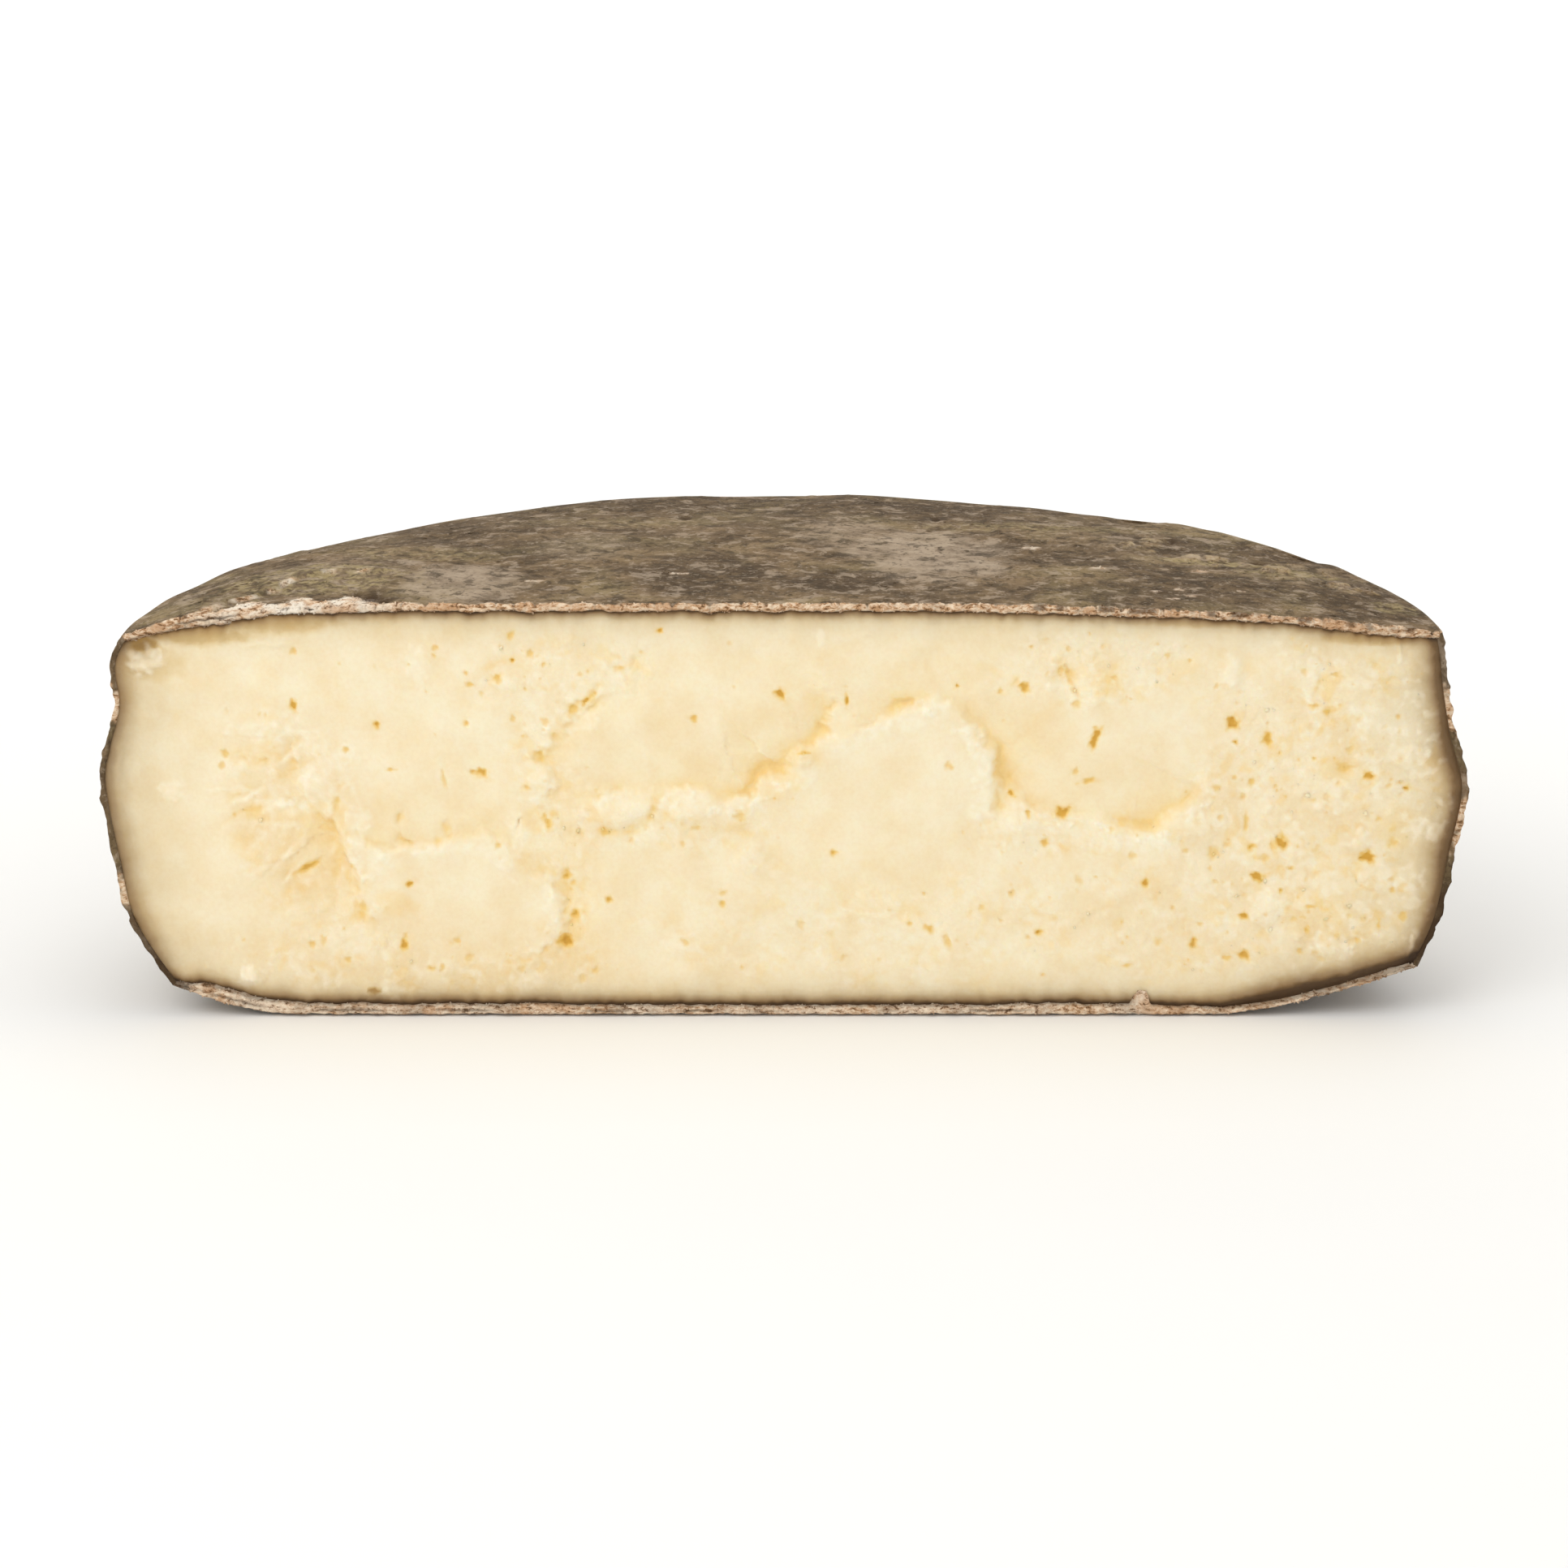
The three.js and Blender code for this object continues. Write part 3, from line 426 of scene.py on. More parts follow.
def crumbs_of(x, y, size, seed):
    """Packed crumbs of this size: height of each dome from 0 to 1, and a random number for each crumb."""
    u, v = x / size, y / size
    i, j = np.floor(u), np.floor(v)
    nearest = np.full(np.shape(u), 9.0)
    second = nearest.copy()
    mark = np.zeros(np.shape(u))
    for a in (-1, 0, 1):
        for b in (-1, 0, 1):
            ci, cj = i + a, j + b
            away = np.hypot(u - ci - hashed(ci, cj, seed), v - cj - hashed(ci, cj, seed + 1))
            closer = away < nearest
            second = np.where(closer, nearest, np.minimum(second, away))
            mark = np.where(closer, hashed(ci, cj, seed + 2), mark)
            nearest = np.minimum(nearest, away)
    dome = np.clip(1 - (nearest / 0.75) ** 2, 0, 1) * smooth(second - nearest, 0, 0.35)
    return dome, mark


def station_weights(theta):
    """How much the right, back and left profiles count at an angle round from the right end of the cut."""
    turn = theta / (math.pi / 2)
    t = smooth(np.where(turn < 1, turn, turn - 1))
    right = np.where(turn < 1, 1 - t, 0)
    left = np.where(turn < 1, 0, t)
    return right, 1 - right - left, left


def blended(theta, key):
    """A value of the three profiles at this angle."""
    return sum(w * s[key] for w, s in zip(station_weights(theta), STATIONS))


def knot(theta, index, axis):
    """The radius (axis 0) or height (axis 1) of one knot of the profile at this angle."""
    return sum(w * s["knots"][index][axis] for w, s in zip(station_weights(theta), STATIONS))


def profile(theta, run):
    """Radius and height: 0 to 1 crown to shoulder, 1 to 2 down the side, 2 to 3 under, 3 to 4 flat base."""
    theta, run = np.broadcast_arrays(np.asarray(theta, float), np.asarray(run, float))
    last = len(RIGHT["knots"]) - 1
    rs = np.stack([knot(theta, i, 0) for i in range(last + 1)])
    zs = np.stack([knot(theta, i, 1) for i in range(last + 1)])
    along = np.clip(run - 1, 0, 1) * last
    k = np.minimum(np.floor(along), last - 1).astype(int)
    t = along - k
    picks = [np.maximum(k - 1, 0), k, k + 1, np.minimum(k + 2, last)]

    def spline(values):
        p0, p1, p2, p3 = (np.take_along_axis(values, pick[None], 0)[0] for pick in picks)
        v0, v1 = (p2 - p0) / 2, (p3 - p1) / 2
        return (2 * p1 - 2 * p2 + v0 + v1) * t**3 + (-3 * p1 + 3 * p2 - 2 * v0 - v1) * t**2 + v0 * t + p1

    foot = blended(theta, "foot")
    drop = CROWN_HEIGHT - zs[0]
    top_z = CROWN_HEIGHT - drop * np.clip(run, 0, None) ** blended(theta, "top_sag")
    rise = np.clip(3 - run, 0, 1)
    under_r = np.where(run < 3, foot + (rs[last] - foot) * rise, foot * (4 - run))
    under_z = zs[last] * rise ** blended(theta, "foot_sweep")
    r = np.where(run <= 1, run * rs[0], np.where(run < 2, spline(rs), under_r))
    z = np.where(run <= 1, top_z, np.where(run < 2, spline(zs), under_z))
    return r, z


def rind_surface(theta, run):
    """The rind's outer surface with its broad lumps, as radius and height."""
    r, z = profile(theta, run)
    calm = smooth(np.minimum(theta, math.pi - theta), 0, RIND_CALM_ANGLE)
    arc = theta * RIGHT["knots"][0][0]
    lump = calm * RIND_LUMP * layered_noise(arc / LUMP_LENGTH, run * LUMPS_PER_STRETCH)
    here = np.exp(-(((theta - BATTERED["angle"]) / BATTERED["spread"]) ** 2))
    on_shoulder = np.exp(-(((run - 1) / BATTERED["reach"]) ** 2))
    knock = lattice_noise(arc / BATTERED["length"], 0.5 + 0 * arc)
    knock = calm * here * on_shoulder * BATTERED["height"] * knock
    z = z + lump * np.where(run <= 1, run, 1 - smooth(run - 1, 0, SHOULDER_FADE))
    outwards = smooth(run - 1, 0, SHOULDER_FADE) * smooth(2 - run, 0, CALM_ABOVE_CORNER)
    r = r + lump * np.where(run < 2, outwards, 0)
    return r, np.where(run < 2, z + knock, z)


def in_space(theta, r, z):
    """Points at this angle, radius and height."""
    return np.stack([r * np.cos(theta), r * np.sin(theta), z], -1)


def near_path(path, x, z):
    """Distance to a path, more than 0 on the left of it, and how far along it, in points, the nearest
    place is."""
    nearest = np.full(np.shape(x), 1e9)
    along = np.zeros(np.shape(x))
    side = np.ones(np.shape(x))
    for number, ((ax, az, *_), (bx, bz, *_)) in enumerate(zip(path, path[1:])):
        t = np.clip(((x - ax) * (bx - ax) + (z - az) * (bz - az)) / ((bx - ax) ** 2 + (bz - az) ** 2), 0, 1)
        away = np.hypot(x - ax - t * (bx - ax), z - az - t * (bz - az))
        closer = away < nearest
        nearest = np.where(closer, away, nearest)
        along = np.where(closer, number + t, along)
        side = np.where(closer, np.sign((bx - ax) * (z - az) - (bz - az) * (x - ax)), side)
    return nearest * side, along


def turned(dx, dz, tilt, width, height):
    """The distance from a place, turned by its tilt and counted in its half width and half height."""
    c, s = math.cos(math.radians(tilt)), math.sin(math.radians(tilt))
    return (c * dx + s * dz) / width, (-s * dx + c * dz) / height


def patches(places, x, z, warp=0.0):
    """Soft patches that add up to at most 1. Each place is (x, z, half width, half height, amount)."""
    total = np.zeros(np.shape(x))
    for px, pz, width, height, *amount in places:
        reach = ((x - px) / width) ** 2 + ((z - pz) / height) ** 2 + warp
        total = np.maximum(total, (amount[0] if amount else 1) * smooth(1.6 - reach, 0, 1.2))
    return total


def cut_top(x):
    """Height of the cut's top edge."""
    theta = np.where(x >= 0, 0.0, math.pi)
    return profile(theta, np.abs(x) / knot(theta, 0, 0))[1]


def cut_base(x):
    """Height of the cut's lower edge."""
    theta = np.where(x >= 0, 0.0, math.pi)
    foot, corner = blended(theta, "foot"), knot(theta, -1, 0)
    rise = np.clip((np.abs(x) - foot) / (corner - foot), 0, 1.3)
    return knot(theta, -1, 1) * rise ** blended(theta, "foot_sweep")


def cut_side(z, theta):
    """How far out the cut's edge lies at this height, at the end with this angle."""
    r, height = profile(np.full(400, theta), np.linspace(1, 2, 400))
    return np.interp(z, height[::-1], r[::-1])


def widened(x, place):
    """A share that rises to the place's amount over its stretch of the cut: (x, half width, amount)."""
    middle, half, extra = place
    return extra * smooth(1.5 - np.abs(x - middle) / half, 0, 1)


def crust_top(x):
    """Thickness of the top's crust along the cut."""
    wave = 0.2 * ripple(x, 0 * x, 6.5, 11) + 0.18 * ripple(x, 0 * x, 1.9, 12)
    return np.interp(x, *zip(*CRUST_TOP)) * (1 + wave)


def crust_base(x, plugged=1.0):
    """Thickness of the base's crust along the cut, with this share of the plug."""
    wave = 0.14 * ripple(x, 0 * x, 9, 13) + 0.1 * ripple(x, 0 * x, 2.2, 14)
    place, half, tall = PLUG
    plug = tall * np.exp(-(((x - place + 0.4 * ripple(x, 0 * x, 1.2, 17)) / half) ** 4))
    return np.interp(x, *zip(*CRUST_BASE)) * (1 + wave) + plug * plugged


def crust_side(z, seed):
    """Thickness of the side's crust up the cut, at the end that this seed belongs to."""
    thick = np.interp(z, *zip(*(CRUST_LEFT if seed == LEFT_SEED else CRUST_RIGHT)))
    return thick * (1 + 0.25 * ripple(z, 0 * z, 8, seed) + 0.14 * ripple(z, 0 * z, 2, seed + 1))


class PasteMap:
    """The cut face's relief and marks, worked out once on a fine raster and then read at any point."""

    STEP = 0.25
    SPAN = (-152, 152)
    HEIGHTS = (-2, 98)

    def __init__(self):
        self.xs = np.arange(*self.SPAN, self.STEP)
        self.zs = np.arange(*self.HEIGHTS, self.STEP)
        x, z = np.meshgrid(self.xs, self.zs)
        self.seed_eyes()
        gaps = self.crust_gaps(x, z)
        border = np.minimum.reduce(gaps)
        depth, rim, shade = self.broken_steps(x, z)
        even = smooth(np.clip(border, 0, None), 0, EVEN_BORDER)
        rough = np.clip(self.roughness(x, z) + 0.45 * rim, 0, 1)
        white = 0.8 * patches(WHITE_PLACES, x, z, 1.1 * ripple(x, z, 3.6, 21) + 0.8 * ripple(x, z, 1.4, 20))
        near = smooth(border, 0.2, 5)
        flakes, painted_flake_highlight, painted_flake_shade = self.fan_flakes(x, z)
        torn = TEAR_HEIGHT * layered_noise(x / TEAR_LENGTH, z / TEAR_LENGTH)
        soft = torn + self.lumps(x, z, LUMPS) + flakes
        fine = self.crumb_relief(x, z, rough, white, rim)
        by_crust = smooth(border, -0.2, 0.6) * self.lumps(x, z, LUMPS_BY_CRUST)
        depth = even * (depth + soft) + near * fine + by_crust
        eye_depth, self.eye = self.eye_relief(x, z)
        depth = depth + near * eye_depth
        behind = RECESS_BEHIND_CRUST * (2 - smooth(border, -0.5, 0.15) - smooth(border, 0.2, 3))
        self.depth = depth + behind
        cavity = self.depth - self.blurred(self.depth, 1.6)
        golden = 1.2 * smooth(ripple(x, z, 6.5, 56) + 0.8 * ripple(x, z, 2.1, 57), 0.25, 0.65) * rough
        vein = 1 - smooth(np.abs(ripple(x, z, 6.5, 67) + 0.5 * ripple(x, z, 2.1, 68)), 0, 0.16)
        golden = golden + 0.8 * vein * rough * smooth(ripple(x, z, 12, 69), -0.1, 0.4)
        # Painted golden shade at the feet of the steps, in the cracks and the listed patches, wherever the
        # surface lies deeper than round it, and at the feet of the fan's flakes; the paste's golden patches
        # and veins and the browned stretches go with it
        hollow = np.clip(shade + smooth(cavity, 0.05, 1.1) + 0.45 * golden + 0.4 * painted_flake_shade, 0, 1) * near
        browned = patches(BROWNED, x, z, 0.5 * ripple(x, z, 5, 64) + 0.4 * ripple(x, z, 1.8, 63))
        self.hollow = np.clip(hollow + browned, 0, 1)
        # Painted highlight where the surface stands higher than round it, stronger where the paste is crumbly
        painted_highlight = smooth(-cavity, 0.02, 0.5) * (0.25 + 0.6 * rough)
        pale = smooth(ripple(x, z, 6, 58) + 0.9 * ripple(x, z, 2, 59), 0.2, 0.6) * rough
        white = np.maximum(white, 0.8 * pale) * (0.7 + 0.5 * ripple(x, z, 1.4, 22))
        # Whitish crumb and crumbly rims, with the painted highlight on raised places and on the edges of the
        # fan's flakes
        self.crumb = np.clip(np.maximum(0.5 * painted_highlight, white) + 0.65 * rim + 0.6 * painted_flake_highlight, 0, 1) * near
        ripe = self.ripened(x, z, gaps)
        self.ripeness = ripe + browned * (np.minimum(ripe, BROWN) - ripe)
        self.rough = np.clip(rough + 0.3 * white, 0, 1)
        self.bed = self.crumb_bed(rough, cavity) * smooth(border, 1.5, 4)
        cloudy = ripple(x, z, 26, 31) + 0.5 * ripple(x, z, 9, 32)
        self.tone = np.clip(0.32 * smooth(cloudy, -1, 1) + patches(GOLDEN, x, z, 0.4 * cloudy), 0, 1)

    def crust_gaps(self, x, z):
        """Distance inwards from the crust's inner edge on the top, base, left and right."""
        wave = 0.2 * ripple(x, z, 2.4, 15) + 0.1 * ripple(x, z, 0.9, 16)
        start, end, share = DARK_FOOT
        dark_foot = smooth(x, start, end)
        return (
            cut_top(x) - z - crust_top(x) + wave,
            (z - cut_base(x) - crust_base(x, 0.2) + wave - 1.5 * dark_foot) * (1 - share * dark_foot),
            x + cut_side(z, math.pi) - crust_side(z, LEFT_SEED) + wave,
            cut_side(z, 0.0) - x - crust_side(z, RIGHT_SEED) + wave,
        )

    def ripened(self, x, z, gaps):
        """The least ripe of the four sides at each place, with soft corners between them."""
        wave = 1 + 0.14 * ripple(x, z, 7, 19)
        total = 0.0
        for gap, curve in zip(gaps, (RIPE_TOP, RIPE_BASE, RIPE_LEFT, RIPE_RIGHT)):
            away, ripe = zip(*curve)
            total = total + np.exp(-RIPE_SHARPNESS * np.interp(gap * wave, away, ripe))
        return np.clip(-np.log(total) / RIPE_SHARPNESS + RIPE_LIFT, 0, 1)

    def roughness(self, x, z):
        """How crumbly the paste is, from 0 to 1."""
        warp = 0.5 * ripple(x, z, 9, 23) + 0.3 * ripple(x, z, 4, 24)
        rough = 0.18 + 0.82 * patches(CRUMBLY, x, z, warp)
        return rough * (1 - 0.75 * patches(SMOOTH_PLACES, x, z, warp))

    def ragged(self, x, z):
        """The place with a ragged shift, so that no edge on the cut runs smooth."""
        wx = x + 1.1 * ripple(x, z, 6, 25) + 0.7 * ripple(x, z, 2.3, 26) + 0.35 * ripple(x, z, 1.0, 27)
        wz = z + 1.1 * ripple(x, z, 6, 28) + 0.7 * ripple(x, z, 2.3, 29) + 0.35 * ripple(x, z, 1.0, 24)
        return wx, wz

    def broken_steps(self, x, z):
        """Depth, crumbly rims and painted golden shade of the steps that the paste broke in, of its cracks
        and of the listed shaded patches.
        """
        wx, wz = self.ragged(x, z)
        depth, rim, shade = np.zeros((3, *x.shape))
        for name, (fade, path) in STEPS_IN_PASTE.items():
            share = SMOOTH_SHARE if name == SMOOTH_STEP else 1
            away, along = near_path(path, x + share * (wx - x), z + share * (wz - z))
            drop = np.interp(along, range(len(path)), [point[2] for point in path])
            low = np.clip(away, 0, None)
            wall = STEP_WALL * np.clip(2.1 + 2.2 * ripple(x, z, 7, 65), 0.8, 4.5)
            depth = depth + drop * smooth(away, 0, wall) * np.exp(-((low / fade) ** 1.4))
            lumpy = smooth(ripple(x, z, 4.6, 30) + 0.7 * ripple(x, z, 1.7, 66), -0.25, 0.8)
            high = np.clip(-away, 0, None)
            edge = smooth(-away, -0.3, 0.4) * np.exp(-((high / (2.3 * RIM)) ** 2))
            edge = edge * smooth(drop, 0, 1.4) * lumpy
            depth = depth - 0.12 * edge
            rim = np.maximum(rim, edge)
            # Painted golden shade at the foot of the step's wall
            foot = smooth(away, -0.3, 0.5 * wall) * np.exp(-((low / 8) ** 1.1)) * drop / 3.3
            shade = np.maximum(shade, foot)
        for deep, width, path in CREVICES:
            away = near_path(path, wx, wz)[0]
            broken = 0.65 + 0.6 * ripple(x, z, 2.6, 40)
            groove = np.exp(-((away / (1.3 * width)) ** 2)) * np.clip(broken, 0, 1)
            depth = depth + 0.55 * deep * groove
            # Painted shade along the crack
            shade = np.maximum(shade, 0.8 * groove)
        warp = 0.6 * ripple(x, z, 6, 40) + 0.4 * ripple(x, z, 2.2, 41)
        # The listed patches of painted golden shade
        shade = np.maximum(shade, patches(SHADED, x, z, warp))
        return depth, np.clip(rim, 0, 1), np.clip(shade, 0, 1)

    def lumps(self, x, z, places):
        """Depth of soft lumps, which is less than 0 where they stand out."""
        depth = 0.0
        wx = x + 0.7 * ripple(x, z, 4, 37) + 0.3 * ripple(x, z, 1.5, 36)
        wz = z + 0.7 * ripple(x, z, 4, 38) + 0.3 * ripple(x, z, 1.5, 35)
        for px, pz, width, height, tilt, lift in places:
            u, v = turned(wx - px, wz - pz, tilt, width, height)
            depth = depth - lift * np.exp(-((u * u + v * v) ** 1.3))
        return depth

    def fan_flakes(self, x, z):
        """Thin flakes that overlap like scales, each rising slowly to a sharp step: depth, and where the
        painted highlight of their edges and the painted shade of their feet go.
        """
        px, pz, width, height, lean = FAN
        u, v = turned(x - px, z - pz, lean, width, height)
        here = smooth(1.25 - np.hypot(u, v) + 0.25 * ripple(x, z, 7, 39), 0, 0.55)
        here = here * (1 - 0.85 * patches(FLAKES_END, x, z))
        cx, cz = FLAKE_CENTRE
        angle = np.arctan2(cz - z, cx - x) / FLAKE_ANGLE
        angle = angle + 0.7 * ripple(x, z, 12, 33) + 0.18 * ripple(x, z, 3, 34)
        row = np.floor(angle)
        saw = angle - row
        length = smooth(ripple(x, 9 * row, 7, 36) + 0.4 * ripple(x, z, 2.2, 35), -0.5, 0.7)
        step = smooth(saw, 0, 0.25) * (1 - saw)
        # Where the painted highlight goes, on each step's edge
        edge = smooth(saw, 0.04, 0.2) * (1 - smooth(saw, 0.25, 0.55))
        # Where the painted shade goes, at each flake's foot
        foot = smooth(saw, 0.6, 0.98)
        return here * FLAKE_HEIGHT * length * (0.4 - step), here * length * edge, here * length * foot

    def crumb_relief(self, x, z, rough, white, rim):
        """Packed crumbs of three sizes on a torn ground, deeper where the paste is rough."""
        wx = x + 0.5 * ripple(x, z, 2.5, 41)
        wz = z + 0.5 * ripple(x, z, 2.5, 42)
        coarse, coarse_mark = crumbs_of(wx, wz, 3.4, 43)
        fine, fine_mark = crumbs_of(wx, wz, 1.4, 46)
        lumps = 0.4 * coarse * coarse_mark**2 + 0.14 * fine * fine_mark
        edging, edging_mark = crumbs_of(wx, wz, 1.6, 47)
        lumps = lumps + rim * 0.7 * edging * (0.2 + 0.8 * edging_mark)
        torn = 0.3 * ripple(x, z, 6, 51) + 0.12 * ripple(x, z, 2.4, 52) + 0.05 * ripple(x, z, 1.0, 53)
        waves = 0.03 * ripple(x, z, 1.2, 54) + 0.08 * ripple(x, z, 9, 55)
        return rough * (torn - lumps) - 0.25 * white + waves

    def seed_eyes(self):
        """The placed eyes, and faint ones scattered by how crumbly the paste is."""
        rng = np.random.default_rng(61)
        self.eyes = list(EYES)
        while len(self.eyes) < len(EYES) + FAINT_EYES:
            x, z = rng.uniform(*EYE_FIELD[:2]), rng.uniform(*EYE_FIELD[2:])
            small, large = FAINT_EYE_SIZE
            size = small + (large - small) * rng.random() ** 2.4
            shape, tilt, amount = rng.uniform(0.5, 1.5), rng.uniform(-60, 60), rng.uniform(0.15, 0.65)
            wanted = float(self.roughness(np.array([x]), np.array([z]))[0]) ** 1.5
            if rng.random() < wanted:
                self.eyes.append((x, z, size, size * shape, tilt, amount))

    def eye_relief(self, x, z):
        """Depth of the eyes, each with a ragged, lobed edge, and how strongly each place is inside one."""
        depth = np.zeros(x.shape)
        mask = np.zeros(x.shape)
        for number, (ex, ez, width, height, tilt, amount) in enumerate(self.eyes):
            reach = int(2.4 * max(width, height) / self.STEP) + 3
            row, column = int((ez - self.zs[0]) / self.STEP), int((ex - self.xs[0]) / self.STEP)
            rows = slice(max(row - reach, 0), row + reach)
            columns = slice(max(column - reach, 0), column + reach)
            dx, dz = x[rows, columns] - ex, z[rows, columns] - ez
            u, v = turned(dx, dz, tilt, width, height)
            ragged = 0.35 * ripple(dx + 31 * number, dz, 0.9, 62)
            ragged = ragged + 0.35 * ripple(dx, dz + 17 * number, 2.2, 63)
            way = np.arctan2(v, u)
            lobes = 0.1 * np.cos(3 * way + number) + 0.08 * np.cos(5 * way + 2.4 * number)
            away = np.hypot(u, v) * (1 + lobes) + ragged
            deep = (0.25 + 0.4 * min(width, height)) * (0.3 + 0.7 * amount)
            here = (rows, columns)
            depth[here] = np.maximum(depth[here], deep * (1 - smooth(away, 0.35, 1.15)))
            mask[here] = np.maximum(mask[here], amount * (1 - smooth(away, 0.35, 1.5)))
        return depth, mask

    def crumb_bed(self, rough, cavity):
        """Where loose crumbs gather: in small hollows of the crumbly paste."""
        return smooth(rough, 0.45, 0.9) * smooth(cavity, -0.1, 0.5) * (1 - self.eye)

    def blurred(self, field, size):
        """The field with everything finer than about this size smoothed away."""
        rows, columns = (np.fft.fftfreq(n, self.STEP) for n in field.shape)
        falloff = np.exp(-2 * (math.pi * size) ** 2 * (rows[:, None] ** 2 + columns[None] ** 2))
        return np.real(np.fft.ifft2(np.fft.fft2(field) * falloff))

    def read(self, field, x, z):
        """The field's value at each point, between the raster's own points."""
        u = np.clip((x - self.xs[0]) / self.STEP, 0, len(self.xs) - 1.001)
        v = np.clip((z - self.zs[0]) / self.STEP, 0, len(self.zs) - 1.001)
        i, j = u.astype(int), v.astype(int)
        u, v = u - i, v - j
        low = field[j, i] * (1 - u) + field[j, i + 1] * u
        high = field[j + 1, i] * (1 - u) + field[j + 1, i + 1] * u
        return low * (1 - v) + high * v


class Skin:
    """The points and faces of one closed skin, gathered line by line, in millimetres."""

    def __init__(self):
        self.points = []
        self.count = 0
        self.faces = []

    def add_points(self, points):
        """Adds points and gives back their numbers, laid out as the points were."""
        flat = np.asarray(points, float).reshape(-1, 3)
        index = self.count + np.arange(len(flat)).reshape(np.shape(points)[:-1])
        self.points.append(flat)
        self.count += len(flat)
        return index

    def add_grid(self, index):
        """Joins rows and columns of points with four-sided faces."""
        quads = np.stack([index[:-1, :-1], index[1:, :-1], index[1:, 1:], index[:-1, 1:]], -1)
        self.faces.extend(quads.reshape(-1, 4).tolist())

    def add_zip(self, first, first_runs, second, second_runs):
        """Joins two neighbouring lines whose points run at different steps."""
        i = j = 0
        while i + 1 < len(first) or j + 1 < len(second):
            first_next = first_runs[i + 1] if i + 1 < len(first) else math.inf
            second_next = second_runs[j + 1] if j + 1 < len(second) else math.inf
            if first_next <= second_next:
                self.faces.append([int(first[i]), int(first[i + 1]), int(second[j])])
                i += 1
            else:
                self.faces.append([int(first[i]), int(second[j + 1]), int(second[j])])
                j += 1

    def to_object(self, name, triangles=None):
        """A smooth, closed mesh object, thinned to this many triangles where it has more."""
        points = in_frame(np.concatenate(self.points))
        mesh = bpy.data.meshes.new(name)
        distinct = [list(dict.fromkeys(face)) for face in self.faces]
        mesh.from_pydata(points.tolist(), [], [face for face in distinct if len(face) > 2])
        merged = bmesh.new()
        merged.from_mesh(mesh)
        bmesh.ops.remove_doubles(merged, verts=merged.verts, dist=MERGE_DISTANCE)
        bmesh.ops.dissolve_degenerate(merged, edges=merged.edges, dist=MERGE_DISTANCE / 10)
        bmesh.ops.recalc_face_normals(merged, faces=merged.faces)
        if merged.calc_volume(signed=True) < 0:
            bmesh.ops.reverse_faces(merged, faces=merged.faces)
        bmesh.ops.triangulate(merged, faces=merged.faces)
        merged.to_mesh(mesh)
        merged.free()
        made = bpy.data.objects.new(name, mesh)
        bpy.context.scene.collection.objects.link(made)
        if triangles and len(mesh.polygons) > triangles:
            thin = made.modifiers.new("thin", "DECIMATE")
            thin.ratio = triangles / len(mesh.polygons)
            made = settle(made)
        made.data.shade_smooth()
        return made


def cut_plane_y():
    """Where the plane of the cut lies in the frame: the CAD solid is widest on it."""
    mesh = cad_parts["cheese"].data
    points = np.empty(3 * len(mesh.vertices))
    mesh.vertices.foreach_get("co", points)
    points = points.reshape(-1, 3)
    return float(points[points[:, 0].argmax(), 1])


CUT_Y = cut_plane_y()


def in_frame(points):
    """Points in the wheel's millimetres as places in the frame."""
    return np.asarray(points) / 1000 + np.array([0, CUT_Y, 0])


def in_wheel(mesh):
    """A mesh's points in the wheel's own millimetres."""
    points = np.empty(3 * len(mesh.vertices))
    mesh.vertices.foreach_get("co", points)
    return (points.reshape(-1, 3) - np.array([0, CUT_Y, 0])) * 1000


def settle(made):
    """Turns an object's live modifiers into a plain mesh."""
    bpy.context.view_layer.update()
    graph = bpy.context.evaluated_depsgraph_get()
    finished = made.evaluated_get(graph)
    plain = bpy.data.meshes.new_from_object(finished, preserve_all_data_layers=True, depsgraph=graph)
    plain.name = made.name
    made.modifiers.clear()
    made.data = plain
    return made


def mark(made, name, values):
    """Gives a piece an attribute with one value for each point, which its material reads."""
    layer = made.data.attributes.new(name, "FLOAT", "POINT")
    layer.data.foreach_set("value", np.ascontiguousarray(values, np.float32))


def linear(hex_colour):
    """An sRGB hex colour as Blender's linear one."""
    parts = [int(hex_colour[i : i + 2], 16) / 255 for i in (1, 3, 5)]
    parts = [p / 12.92 if p <= 0.04045 else ((p + 0.055) / 1.055) ** 2.4 for p in parts]
    return (*parts, 1.0)


def add_node(tree, kind, settings=None, sockets=None):
    """Adds a node. A socket is given by its number, identifier or name, and takes a value or another
    socket."""
    node = tree.nodes.new(kind)
    for key, value in (settings or {}).items():
        setattr(node, key, value)
    for key, value in (sockets or {}).items():
        if isinstance(key, int):
            socket = node.inputs[key]
        else:
            socket = next((s for s in node.inputs if s.identifier == key), None) or node.inputs[key]
        if isinstance(value, bpy.types.NodeSocket):
            tree.links.new(value, socket)
        else:
            socket.default_value = value
    return node


def new_material(name):
    """An empty material and its node tree."""
    material = bpy.data.materials.new(name)
    material.use_nodes = True
    material.node_tree.nodes.clear()
    return material, material.node_tree


def per_metre(millimetres):
    """The noise scale that gives features of this size on Object coordinates."""
    return 1000 / millimetres


def noise_at(tree, place, size, detail=2.0, rough=0.5, distortion=0.0):
    """Noise whose features are this many millimetres long."""
    sockets = {"Vector": place, "Scale": per_metre(size), "Detail": detail}
    sockets |= {"Roughness": rough, "Distortion": distortion}
    return add_node(tree, "ShaderNodeTexNoise", None, sockets).outputs[0]


def ranged(tree, value, low, high, to_low=0.0, to_high=1.0):
    """The value taken from one range to another, with soft ends."""
    sockets = {0: value, 1: low, 2: high, 3: to_low, 4: to_high}
    return add_node(tree, "ShaderNodeMapRange", {"interpolation_type": "SMOOTHSTEP"}, sockets).outputs[0]


